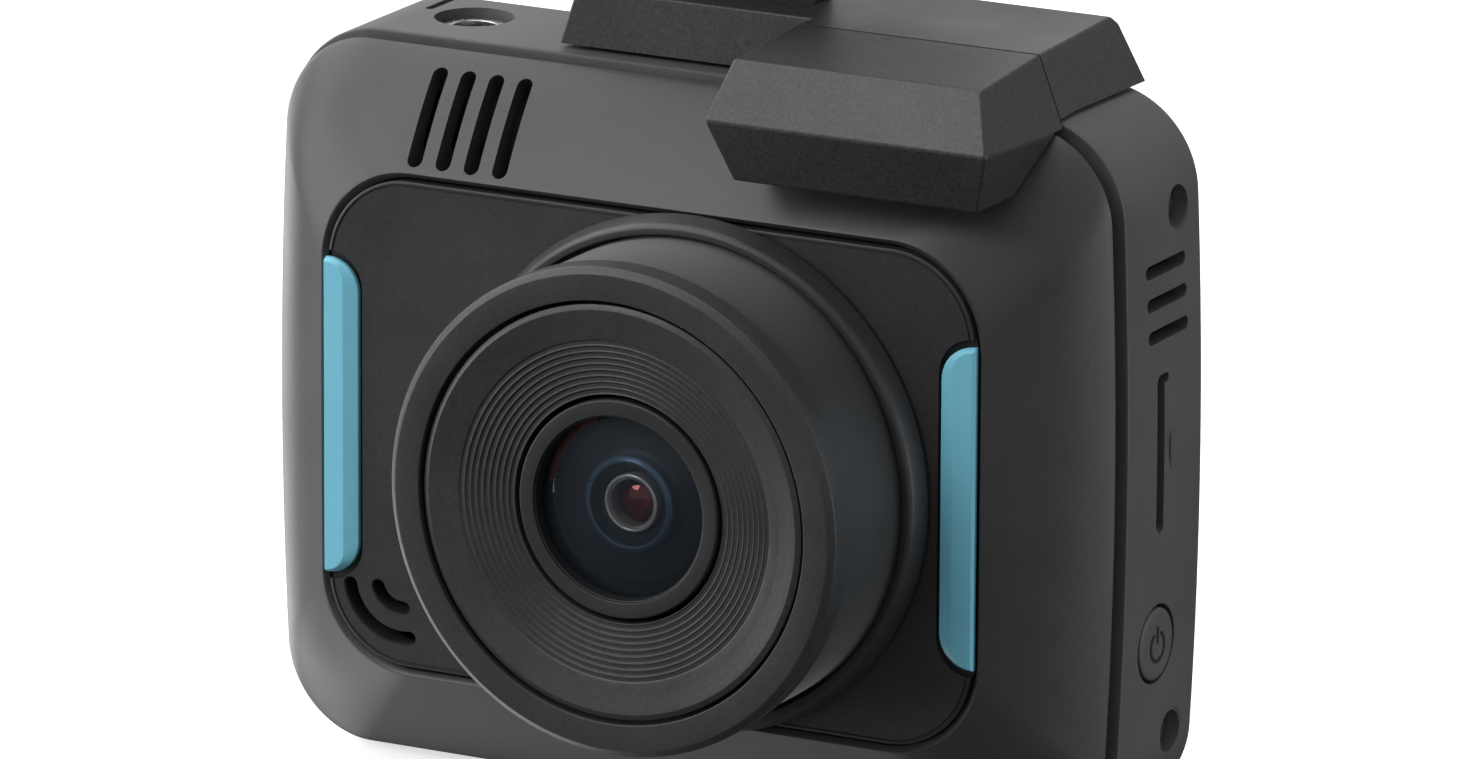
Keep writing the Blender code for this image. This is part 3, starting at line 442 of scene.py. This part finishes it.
def turned(name, material, profile, steps=176, closed=True, centre=LENS_AXIS, axis="front"):
    """A turned piece: its profile holds (radius, height), with heights along the axis."""
    bm = bmesh.new()
    rows = []
    for radius, height in profile:
        if radius < 1e-6:
            rows.append([bm.verts.new(placed(0.0, 0.0, height, *centre, axis))])
            continue
        ring = []
        for i in range(steps):
            turn = 2 * math.pi * i / steps
            u, v = radius * math.cos(turn), radius * math.sin(turn)
            ring.append(bm.verts.new(placed(u, v, height, *centre, axis)))
        rows.append(ring)
    pairs = list(zip(rows, rows[1:]))
    if closed:
        pairs.append((rows[-1], rows[0]))
    for low, high in pairs:
        for i in range(steps):
            j = (i + 1) % steps
            corners = (
                low[i % len(low)], low[j % len(low)], high[j % len(high)], high[i % len(high)]
            )
            unique = list(dict.fromkeys(corners))
            if len(unique) > 2:
                bm.faces.new(unique)
    return finished(name, bm, material, SHARP_ANGLE)


def placed(u, v, height, c0, c1, axis):
    """A point about an axis, which goes out of the object at its front, right, left or top."""
    if axis == "front":
        return (c0 + u, -height, c1 + v)
    if axis == "right":
        return (height, c0 + u, c1 + v)
    if axis == "left":
        return (-height, c0 + u, c1 + v)
    return (c0 + u, c1 + v, height)


def rod(radius, low, high, centre, axis, steps=64):
    profile = [(0.0, high), (radius, high), (radius, low), (0.0, low)]
    return turned("cutter", None, profile, steps, closed=False, centre=centre, axis=axis)


def prism(outline, low, high, axis):
    """This outline drawn along an axis: it's (x, z) for front, (y, z) for a side, (x, y) for up."""
    rings = [[placed(u, v, height, 0.0, 0.0, axis) for u, v in outline] for height in (low, high)]
    return lofted("cutter", None, rings, capped=True)


def block(low, high):
    corners = [(low[0], low[1]), (high[0], low[1]), (high[0], high[1]), (low[0], high[1])]
    return prism(corners, low[2], high[2], "up")


def shifted(outline, dx, dy, turn=0.0):
    c, s = math.cos(math.radians(turn)), math.sin(math.radians(turn))
    return [(dx + c * x - s * y, dy + s * x + c * y) for x, y in outline]


def carve(target, cutters, operation="DIFFERENCE"):
    for cutter in cutters:
        step = target.modifiers.new("carve", "BOOLEAN")
        step.operation = operation
        step.solver = "EXACT"
        step.object = cutter


def settle(target, cutters, sharp=SHARP_ANGLE):
    """Applies the modifiers, and removes the cutters that they used."""
    graph = bpy.context.evaluated_depsgraph_get()
    mesh = bpy.data.meshes.new_from_object(target.evaluated_get(graph))
    target.modifiers.clear()
    target.data = mesh
    for cutter in cutters:
        bpy.data.objects.remove(cutter)
    mesh.shade_smooth()
    mesh.set_sharp_from_angle(angle=math.radians(sharp))
    evened = target.modifiers.new("even_shading", "WEIGHTED_NORMAL")
    evened.keep_sharp = True


def soften(target, width):
    """Rounds the sharp edges of a CAD node, by a width in millimetres."""
    weld = target.modifiers.new("joined", "WELD")
    weld.merge_threshold = 0.000002
    bevel = target.modifiers.new("soft_edges", "BEVEL")
    bevel.width = width / 1000
    bevel.segments = 3
    bevel.limit_method = "ANGLE"
    bevel.angle_limit = math.radians(30)
    bevel.harden_normals = True


def stand_for(piece, body, node=None):
    """Puts a piece on a body, in the place of a CAD node if there is one."""
    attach(piece, body)
    if node:
        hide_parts(node)
    return piece


# ---------------------------------------------------------------- front bezel and panel
FRAME_SHARES = side_shares()


def bezel_slope(t, side):
    """The bezel face's depth, which falls away more evenly above and below than at the sides."""
    flat = 0.84 * t + 0.16 * t**3
    bulging = 0.55 * t + 0.45 * t**3
    return 0.05 + 7.45 * (flat + (bulging - flat) * side)


def frame_between(t, grow=0.0):
    """The outline at t between the bezel's crest and its rim."""
    inner = framed_outline(30.05 + grow, 21.1 + grow, 8.1, 0.004)
    outer = case_outline(0.5 - grow)
    return [(x0 + (x1 - x0) * t, z0 + (z1 - z0) * t) for (x0, z0), (x1, z1) in zip(inner, outer)]


def level_ring(t, y):
    return flat_ring(frame_between(t), y)


def slope_ring(t, behind=0.0, grow=0.0):
    """A ring this far behind the bezel's outer face."""
    points = frame_between(t, grow)
    return [(x, bezel_slope(t, side) + behind, z) for (x, z), side in zip(points, FRAME_SHARES)]


def vent_cutter(x, width, depth):
    """A slot that lies on the bezel's upper slope, and goes this deep on both sides of it."""
    foot, head = Vector((0.25, 0.35, 21.58)), Vector((-0.25, 6.15, 28.55))
    along = (head - foot).normalized()
    across = Vector((1.0, 0.0, 0.0))
    across = (across - along * across.dot(along)).normalized()
    through = along.cross(across)
    middle = (foot + head) / 2 + Vector((x, 0.0, 0.0))
    outline = stadium((head - foot).length, width)
    rings = []
    for height in (-depth, depth):
        rings.append([middle + along * u + across * v + through * height for u, v in outline])
    return lofted("cutter", None, rings, capped=True)


def make_front_bezel():
    """The rings go from the panel's edge over the outer face to the rim, and back inside."""
    rings = [level_ring(-0.05, 0.5), level_ring(-0.025, 0.24), level_ring(-0.010, 0.11)]
    rings += [slope_ring(0.0, 0.02), slope_ring(0.010), slope_ring(0.03)]
    rings += [slope_ring(0.06 + 0.86 * i / 22) for i in range(23)]
    rings += [slope_ring(0.955, 0.01), slope_ring(0.975, 0.03), slope_ring(0.989, 0.08)]
    rings += [slope_ring(0.997, 0.15), level_ring(0.999, 7.66), level_ring(0.99, 7.7)]
    for t, y in ((0.82, 8.0), (0.82, 9.5), (0.80, 10.5), (0.66, 10.5)):
        rings.append(level_ring(t, y))
    rings += [slope_ring(t, 2.2) for t in (0.62, 0.53, 0.45, 0.37, 0.3)]
    for t, y in ((0.2, 3.6), (-0.15, 3.6), (-0.15, 2.3), (-0.05, 2.3)):
        rings.append(level_ring(t, y))
    bezel = lofted("bezel_shell", BEZEL_BLACK, rings)
    cutters = [vent_cutter(-21.9 + 2.6 * i, 1.35, 3.2) for i in range(4)]
    carve(bezel, cutters)
    settle(bezel, cutters)
    stand_for(bezel, "camera", "front_bezel")


def panel_outline(inset):
    return rounded_rectangle(PANEL_WIDE - inset, PANEL_HIGH - inset, PANEL_RADIUS - inset)


def make_front_panel():
    """The plate has a rounded edge and a fine groove just inside it."""
    path = [(0.0, 2.0), (0.0, 0.16), (0.04, 0.05), (0.14, 0.0)]
    path += [(0.27, 0.0), (0.31, 0.13), (0.43, 0.13), (0.47, 0.0)]
    rings = [flat_ring(panel_outline(inset), y) for inset, y in path]
    panel = lofted("front_plate", MATERIALS["satin_black"], rings, capped=True)
    cutters = [rod(17.6, -3.0, 3.0, LENS_AXIS, "front", 144)]
    for radius, start, end in ((2.25, 198, 275), (4.8, 190, 279)):
        for width, low in ((1.1, -3.0), (1.28, -0.10)):
            outline = curved_slot(ARC_SLOT_CENTRE, radius, width, start, end)
            cutters.append(prism(outline, low, 3.0, "front"))
    for side in (-1, 1):
        pocket = [(side * (29.7 + x), z) for x, z in rounded_rectangle(3.5, 13.85, 3.0)]
        cutters.append(prism(pocket, -0.6, 3.0, "front"))
    carve(panel, cutters)
    settle(panel, cutters)
    stand_for(panel, "camera", "front_panel")


def bar_outline(side, inner, outer, half, curve):
    right = [(outer, -half), (outer, half)]
    right += arc((inner + curve, half - curve), curve, 90, 180, 14)
    right += arc((inner + curve, curve - half), curve, 180, 270, 14)
    return [(side * x, z) for x, z in right]


def make_accent_bar(name, side):
    """Each ring has its inner and outer edge, half height, corner radius and depth."""
    path = (
        (26.50, 29.55, 13.25, 2.85, 0.30),
        (26.50, 29.55, 13.25, 2.85, -0.06),
        (26.56, 29.51, 13.21, 2.81, -0.13),
        (27.62, 29.49, 13.02, 1.80, -0.47),
        (27.74, 29.43, 12.96, 1.70, -0.50),
    )
    rings = [flat_ring(bar_outline(side, *shape), y) for *shape, y in path]
    bar = lofted(f"{name}_face", MATERIALS["accent_blue"], rings, capped=True, sharp=12.0)
    stand_for(bar, "camera", name)


# ---------------------------------------------------------------- lens
def lens_piece(name, node, profile, fillet=0.0, closed=True, material=None):
    if fillet:
        profile = filleted(profile, fillet, closed)
    piece = turned(name, material or MATERIALS[SLOTS[node]], profile, closed=closed)
    return stand_for(piece, "camera", node)


def make_lens_shell():
    collar = [(19.95, 2.3), (20.55, 2.3), (20.85, 1.95), (21.4, 0.3), (19.95, 0.3)]
    lens_piece("collar_ring", "lens_collar", collar, 0.16)
    barrel = [(17.6, 13.0), (18.9, 13.0), (18.9, 11.0), (19.6, 11.0), (19.6, 0.3), (17.3, 0.3),
              (17.3, -4.0), (15.8, -4.0), (15.8, 1.0), (17.6, 1.8)]
    lens_piece("barrel_tube", "lens_barrel", barrel, 0.12, material=BARREL_BLACK)
    hood = [(17.3, 14.0), (19.45, 14.0), (20.0, 13.55), (20.0, 11.3), (19.2, 11.3), (19.2, 13.3),
            (17.3, 13.3)]
    lens_piece("hood_rim", "lens_hood_ring", hood, 0.10)
    funnel = []
    for i in range(9):
        r, low = 9.35 + 0.515 * i, 12.44 + 0.097 * i
        funnel += [(r, low + 0.02), (r + 0.05, low + 0.07), (r + 0.12, low), (r + 0.44, low - 0.02)]
    funnel += [(14.0, 13.323), (14.9, 13.46), (15.8, 13.64), (16.5, 13.80), (16.95, 13.62)]
    funnel += [(16.95, 11.7), (9.35, 11.0)]
    lens_piece("hood_funnel", "hood_baffle", funnel, 0.03)
    keeper = [(7.66, 12.6), (8.84, 12.6), (8.96, 12.44), (8.96, 8.0), (8.1, 8.0), (8.1, 11.7),
              (7.66, 11.7)]
    lens_piece("glass_keeper", "lens_retaining_ring", keeper, 0.07, material=RING_BLACK)
    seal = [(7.50, 12.40), (7.64, 12.45), (7.64, 11.72), (7.84, 11.68), (7.84, 11.42),
            (7.40, 11.44)]
    ring = lens_piece("glass_seal", None, seal, 0.03, material=CELL_BLACK)


def dome(radius, top, rim, steps):
    """Points down a spherical dome, from its top on the axis to its rim."""
    sagitta = top - rim
    curve = (radius**2 + sagitta**2) / (2 * sagitta)
    points = []
    for i in range(steps + 1):
        r = radius * i / steps
        points.append((r, top - curve + math.sqrt(curve**2 - r**2)))
    return points


def make_lens_inside():
    front = dome(7.8, 12.25, 11.27, 14)
    hollow = [(7.8, 10.4), (6.8, 10.4), *reversed(dome(6.4, 11.4, 10.55, 10))]
    glass = lens_piece("objective_glass", "front_lens", front + hollow, closed=False)
    glass.data.materials.append(CLEAR_GLASS)
    for face in glass.data.polygons:
        face.material_index = 0 if face.normal.y < -0.5 else 1
    cell = [(2.7, 9.9), (3.6, 9.9), (4.2, 9.5), (6.6, 9.5), (7.2, 10.0), (7.7, 10.0), (7.7, 8.6),
            (5.6, 8.4), (5.6, -1.0), (4.3, -1.0), (4.3, 8.0), (2.7, 8.4)]
    lens_piece("inner_cell", "lens_cell", cell, 0.08, material=CELL_BLACK)
    # Painted reflection: an extra ring, coloured blue, put where the inner elements' coating shows
    # a blue reflection round the iris; its metallic gloss is still lit by the lamps.
    blue = [(3.40, 10.92), (3.62, 10.95), (3.95, 10.72), (3.95, 9.60), (3.40, 9.91)]
    ring = lens_piece("inner_lens_rim", None, blue, 0.05, material=PAINTED_BLUE_REFLECTION)
    # Painted reflection: a red crescent plate at the cell's upper-left rim, where the lens coating
    # shows a red reflection.
    crescent = arc(LENS_AXIS, 7.55, 112, 176, 28) + arc((4.40, -0.42), 7.20, 170, 118, 28)
    gleam = plate("painted_red_reflex", PAINTED_RED_REFLECTION, crescent, -10.30, -10.02)
    stand_for(gleam, "camera")
    iris = [(2.14, 10.45), (2.32, 10.45), (2.4, 10.34), (2.4, 8.8), (1.90, 8.8), (1.90, 10.2)]
    lens_piece("iris_rim", "iris_ring", iris, 0.05, material=IRIS_METAL)
    rear = dome(1.6, 9.9, 9.35, 10) + [(1.6, 8.9), (0.0, 8.9)]
    lens_piece("relay_glass", "rear_lens", rear, closed=False, material=RUBY_GLASS)


# ---------------------------------------------------------------- housing and controls
def make_main_housing():
    path = [(0.30, 9.0), (0.10, 9.06), (0.0, 9.25), (0.0, 15.0), (0.0, 21.6)]
    for i in range(1, 9):
        turn = math.radians(11.25 * i)
        path.append((2.4 * (1 - math.cos(turn)), 21.6 + 2.4 * math.sin(turn)))
    path += [(2.4, 22.2), (4.6, 22.2), (4.6, 21.0), (1.6, 21.0), (1.6, 9.0)]
    rings = [flat_ring(case_outline(inset), y) for inset, y in path]
    housing = lofted("case_housing", HOUSING_GREY, rings)
    bosses = []
    cutters = []
    for side in ("right", "left"):
        for z in (SCREW_Z, -SCREW_Z):
            bosses.append(rod(2.7, 33.7, 37.2, (SCREW_Y, z), side))
            cutters.append(rod(1.75, 35.2, 41.2, (SCREW_Y, z), side))
            cutters.append(rod(1.95, 38.05, 41.2, (SCREW_Y, z), side))
            cutters.append(rod(1.2, 32.0, 38.0, (SCREW_Y, z), side, 32))
    for i in range(3):
        place = (15.9 + 0.16 * i, 17.5 - 2.7 * i)
        cutters.append(prism(shifted(stadium(7.1, 1.1), *place), 33.6, 41.6, "right"))

    # The card slot has a nick near its top, a round one near its foot, and a finger notch.
    card_slot = shifted(stadium(12.9, 1.3), 14.85, 2.3, 90.0)
    cutters.append(prism(card_slot, 33.6, 41.6, "right"))
    cutters.append(prism(shifted(stadium(1.7, 0.8), 15.4, 8.4), 37.5, 39.7, "right"))
    cutters.append(rod(0.6, 37.5, 39.7, (14.95, -3.7), "right", 32))
    cutters.append(rod(10.5, -16.7, -15.6, (48.95, 2.3), "front", 160))

    cutters.append(rod(3.3, 33.6, 41.6, BUTTON_AXIS, "right", 72))
    usb_opening = shifted(rounded_rectangle(1.6, 4.1, 0.8), 14.6, 5.7)
    cutters.append(prism(usb_opening, 33.6, 41.6, "left"))
    cutters.append(rod(3.3, 27.3, 32.3, JACK_AXIS, "up"))
    slit = shifted(stadium(5.4, 0.75), -29.6, 19.6, 90.0)
    cutters.append(prism(slit, 29.5, 31.1, "up"))
    contact = [(26.4, 12.7), (29.8, 12.7), (29.8, 21.3), (26.4, 21.3)]
    cutters.append(prism(contact, 26.8, 31.8, "up"))
    carve(housing, bosses, "UNION")
    carve(housing, cutters)
    settle(housing, bosses + cutters)
    stand_for(housing, "camera", "main_housing")


def make_power_button():
    profile = [(0.0, 38.53), (2.55, 38.53), (2.98, 38.40), (3.0, 36.5), (3.7, 36.5), (3.7, 35.3),
               (0.0, 35.3)]
    cap = turned("power_cap", HOUSING_GREY, filleted(profile, 0.14, False), 96,
                 closed=False, centre=BUTTON_AXIS, axis="right")
    stand_for(cap, "power_button", "power_button")
    ring = shifted(curved_slot((0.0, -0.20), 1.20, 0.30, 125, 415), *BUTTON_AXIS)
    line = shifted(stadium(1.50, 0.30), 14.9, -12.80, 90.0)
    for name, outline in (("symbol_ring", ring), ("symbol_line", line)):
        mark = prism(outline, 38.50, 38.585, "right")
        mark.name = name
        mark.data.materials.append(SYMBOL_GREY)
        stand_for(mark, "power_button")


def make_screws():
    profile = [(0.0, 36.9), (1.3, 36.9), (1.5, 36.7), (1.5, 35.5), (0.9, 35.4), (0.9, 29.6),
               (0.0, 29.6)]
    arm, half = 0.62, 0.14
    cross = [
        (arm, -half), (arm, half), (half, half), (half, arm), (-half, arm), (-half, half),
        (-arm, half), (-arm, -half), (-half, -half), (-half, -arm), (half, -arm), (half, -half),
    ]
    for side in ("right", "left"):
        for z, end in ((SCREW_Z, "upper"), (-SCREW_Z, "lower")):
            node = f"case_screw_{side}_{end}"
            screw = turned(f"{node}_head", MATERIALS["bright_metal"],
                           filleted(profile, 0.12, False), 64,
                           closed=False, centre=(SCREW_Y, z), axis=side)
            cutter = prism(shifted(cross, SCREW_Y, z, 30.0), 36.3, 37.4, side)
            carve(screw, [cutter])
            settle(screw, [cutter])
            stand_for(screw, "camera", node)


def make_jack_bush():
    profile = [(1.8, 29.6), (2.6, 29.6), (2.9, 29.4), (2.9, 28.4), (1.8, 28.4)]
    bush = turned("jack_collar", MATERIALS["bright_metal"], filleted(profile, 0.1), 96,
                  centre=JACK_AXIS, axis="up")
    stand_for(bush, "camera", "jack_bush")


# ---------------------------------------------------------------- mount
def case_clearance():
    """The case with a gap all round: what the mount's underside stays clear of."""
    gap = 0.35
    rings = [slope_ring(t, -gap, gap) for t in (0.0, 0.2, 0.4, 0.6, 0.75, 0.9, 1.0)]
    rings.append(flat_ring(frame_between(1.0, gap), 8.55))
    rings += [flat_ring(case_outline(-gap), y) for y in (8.55, 30.0)]
    return lofted("cutter", None, rings, capped=True)


def antenna_pocket():
    return block((11.2, -1.0, 30.9), (28.8, 11.8, 33.8))


def shaped(piece, cutters):
    """Rounds a lofted block's edges, and then cuts it."""
    bevel = piece.modifiers.new("soft_edges", "BEVEL")
    bevel.width = 0.24 / 1000
    bevel.segments = 4
    bevel.limit_method = "ANGLE"
    bevel.angle_limit = math.radians(12)
    carve(piece, cutters)
    settle(piece, cutters, 25.0)


def carried_on(front, seam, y):
    """The line from front to seam, carried on to this depth."""
    front, seam = Vector(front), Vector(seam)
    return front + (seam - front) * ((y - front.y) / (seam.y - front.y))


def make_mount_pod():
    """Both ends lean: each pair of end facets is flat, and they meet at the pod's widest edge.

    Each level has the seam's left and right ends and height, then the front's.
    """
    levels = (
        ((8.78, 31.09), 24.95, (9.1, 30.73), -2.6, 24.95),
        ((7.28, 32.65), 29.4, (7.44, 32.41), -4.5, 30.02),
        ((8.87, 30.38), 35.3, (8.7, 30.63), -1.9, 34.65),
    )
    rings = []
    for (seam_left, seam_right), seam_z, (left, right), front, z in levels:
        rings.append([
            carried_on((left, front, z), (seam_left, POD_SEAM, seam_z), 10.5),
            carried_on((right, front, z), (seam_right, POD_SEAM, seam_z), 10.5),
            Vector((right, front, z)),
            Vector((left, front, z)),
        ])
    pod = lofted("pod_shell", MATERIALS["matte_black"], rings, capped=True)
    behind = block((0.0, POD_SEAM, 20.0), (40.0, 20.0, 40.0))
    shaped(pod, [behind, case_clearance(), antenna_pocket()])
    stand_for(pod, "mount", "mount_pod")


def make_mount_bar():
    """The bar's outline is drawn in from its foot to its head, and its top rear edge is sloped."""
    foot = [(-14.5, 10.3), (7.3, 10.3), (7.3, 7.0), (33.0, 7.0), (33.4, 24.0), (-14.5, 24.0)]
    head = [(-12.6, 11.2), (8.9, 11.2), (8.9, 7.0), (30.4, 7.0), (29.5, 24.0), (-12.6, 24.0)]
    rings = []
    for z, drawn_in in ((28.4, 0.0), (34.6, 0.0), (35.3, 0.7)):
        share = (z - 28.4) / 6.9
        ring = [Vector(a).lerp(Vector(b), share) for a, b in zip(foot, head)]
        rings.append([(p.x, min(p.y, 24.0 - drawn_in), z) for p in ring])
    bar = lofted("bar_shell", MATERIALS["matte_black"], rings, capped=True)
    cutters = [
        block((7.0, 0.0, 20.0), (40.0, BAR_FRONT, 40.0)),
        case_clearance(),
        block((17.7, 13.0, 28.0), (22.3, 27.0, 33.3)),
        block((14.7, 13.0, 31.7), (25.3, 27.0, 33.5)),
        block((-7.0, 13.9, 31.5), (7.0, 21.1, 37.0)),
        rod(1.1, -9.8, 9.8, (17.5, 33.6), "right", 48),
        block((26.1, 12.7, 28.0), (30.1, 21.3, 33.4)),
        antenna_pocket(),
    ]
    shaped(bar, cutters)
    stand_for(bar, "mount", "mount_bar")


def make_pad():
    """The soft adhesive pad: its sides bulge a little between its two faces."""
    path = [(48.9, 0.30), (48.93, 0.14), (49.1, 0.03), (49.4, 0.0)]
    path += [(49.7, 0.03), (49.87, 0.14), (49.9, 0.30)]
    rings = []
    for z, inset in path:
        outline = rounded_rectangle(19.0 - inset, 11.0 - inset, 4.2 - inset)
        rings.append([(x, 17.5 + y, z) for x, y in outline])
    pad = lofted("foam_tape", MATERIALS["foam_pad"], rings, capped=True, sharp=80.0)
    stand_for(pad, "foot", "adhesive_pad")


# ---------------------------------------------------------------- nodes that keep their CAD shape
EDGE_WIDTHS = {
    "windscreen_foot": 0.30, "rear_cover": 0.15, "display_window": 0.10, "microsd_card": 0.06,
    "usb_socket": 0.10, "mount_rail": 0.15, "key_menu": 0.20, "key_up": 0.20, "key_down": 0.20,
    "key_ok": 0.20, "contact_plate": 0.08, "hinge_pin": 0.05, "av_jack": 0.12,
}


def dress_frame():
    """The microphone is painted near-black as painted shade in the panel's arc slots, through which
    it shows.
    """
    for name, node in NODES.items():
        node.data.materials.clear()
        # Painted shade: the microphone behind the arc slots gets the near-black cell material.
        node.data.materials.append(CELL_BLACK if name == "microphone" else MATERIALS[SLOTS[name]])
        if name in EDGE_WIDTHS:
            soften(node, EDGE_WIDTHS[name])


# ---------------------------------------------------------------- floor, air, lights and camera
LIT_POINT = Vector((0.0, 0.0, 0.03))
SOFTBOXES = (
    ("top_softbox", (-0.3, -0.1, 1.6), (1.6, 1.4), 11.0),
    ("key_softbox", (-1.0, -1.5, 1.3), (1.2, 0.9), 14.0),
    ("upper_left_softbox", (-1.3, 0.1, 1.1), (1.0, 1.0), 9.0),
    ("left_softbox", (-1.6, -0.7, 0.15), (1.0, 1.2), 12.0),
    ("left_bounce", (-1.2, 0.1, -1.0), (0.9, 1.0), 8.0),
    ("left_rear_softbox", (-1.4, 0.9, -0.1), (0.8, 1.2), 7.0),
    ("rear_softbox", (-1.0, 1.5, 0.85), (1.6, 1.4), 5.0),
    ("side_softbox", (1.6, 0.3, 0.0), (1.0, 1.0), 6.5),
)


def make_light(name, location, size, power):
    data = bpy.data.lights.new(name, "AREA")
    data.shape = "RECTANGLE"
    data.size, data.size_y = size
    data.energy = power
    lamp = bpy.data.objects.new(name, data)
    lamp.location = location
    lamp.rotation_euler = (LIT_POINT - Vector(location)).to_track_quat("-Z", "Y").to_euler()
    bpy.context.scene.collection.objects.link(lamp)


def make_floor():
    bm = bmesh.new()
    bmesh.ops.create_grid(bm, x_segments=8, y_segments=8, size=12.0)
    mesh = bpy.data.meshes.new("studio_floor")
    bm.to_mesh(mesh)
    bm.free()
    floor = bpy.data.objects.new("studio_floor", mesh)
    floor.location = (0.0, 0.0, CAD_LOW.z - 0.0002)
    bpy.context.scene.collection.objects.link(floor)
    floor.data.materials.append(pale_stage("pale_floor", 0.86))
    floor.visible_diffuse = False
    floor.visible_glossy = False
    floor.visible_shadow = False


def make_air():
    """The world's light is weak from below and strongest from a little above the horizon."""
    world = bpy.data.worlds.new("studio_air")
    bpy.context.scene.world = world
    world.use_nodes = True
    tree = world.node_tree
    direction = tree.nodes.new("ShaderNodeTexCoord").outputs["Generated"]
    split = tree.nodes.new("ShaderNodeSeparateXYZ")
    tree.links.new(direction, split.inputs["Vector"])
    height = tree.nodes.new("ShaderNodeMapRange")
    height.inputs["From Min"].default_value = -1.0
    height.inputs["From Max"].default_value = 1.0
    tree.links.new(split.outputs["Z"], height.inputs["Value"])
    stops = ((0.0, 0.10), (0.42, 0.16), (0.50, 0.55), (0.62, 0.75), (1.0, 0.60))
    shade = ramp(tree, height.outputs["Result"], [(p, (v,) * 3) for p, v in stops])
    tree.links.new(shade, tree.nodes["Background"].inputs["Color"])
    tree.nodes["Background"].inputs["Strength"].default_value = 0.52


def make_camera():
    """The photograph's view, solved from the case's edges and the lens circles."""
    data = bpy.data.cameras.new("photo_camera")
    data.sensor_width = 36.0
    data.lens = 291.6
    data.clip_start = 0.01
    data.clip_end = 60.0
    camera = bpy.data.objects.new("photo_camera", data)
    bpy.context.scene.collection.objects.link(camera)
    sideways = Matrix.Rotation(math.radians(27.912), 3, "Z")
    tilt = Matrix.Rotation(math.radians(90 - 15.214), 3, "X")
    roll = Matrix.Rotation(math.radians(0.350), 3, "Z")
    turn = sideways @ tilt @ roll
    aim = Vector((0.00828, -0.00775, 0.03822))
    place = aim + turn @ Vector((0.0, 0.0, 0.9525))
    camera.matrix_world = Matrix.Translation(place) @ turn.to_4x4()
    bpy.context.scene.camera = camera


bpy.context.scene.view_settings.view_transform = "Standard"
dress_frame()
make_front_bezel()
make_front_panel()
make_accent_bar("accent_bar_left", -1)
make_accent_bar("accent_bar_right", 1)
make_lens_shell()
make_lens_inside()
make_main_housing()
make_power_button()
make_screws()
make_jack_bush()
make_mount_pod()
make_mount_bar()
make_pad()
make_floor()
make_air()
for softbox in SOFTBOXES:
    make_light(*softbox)
make_camera()
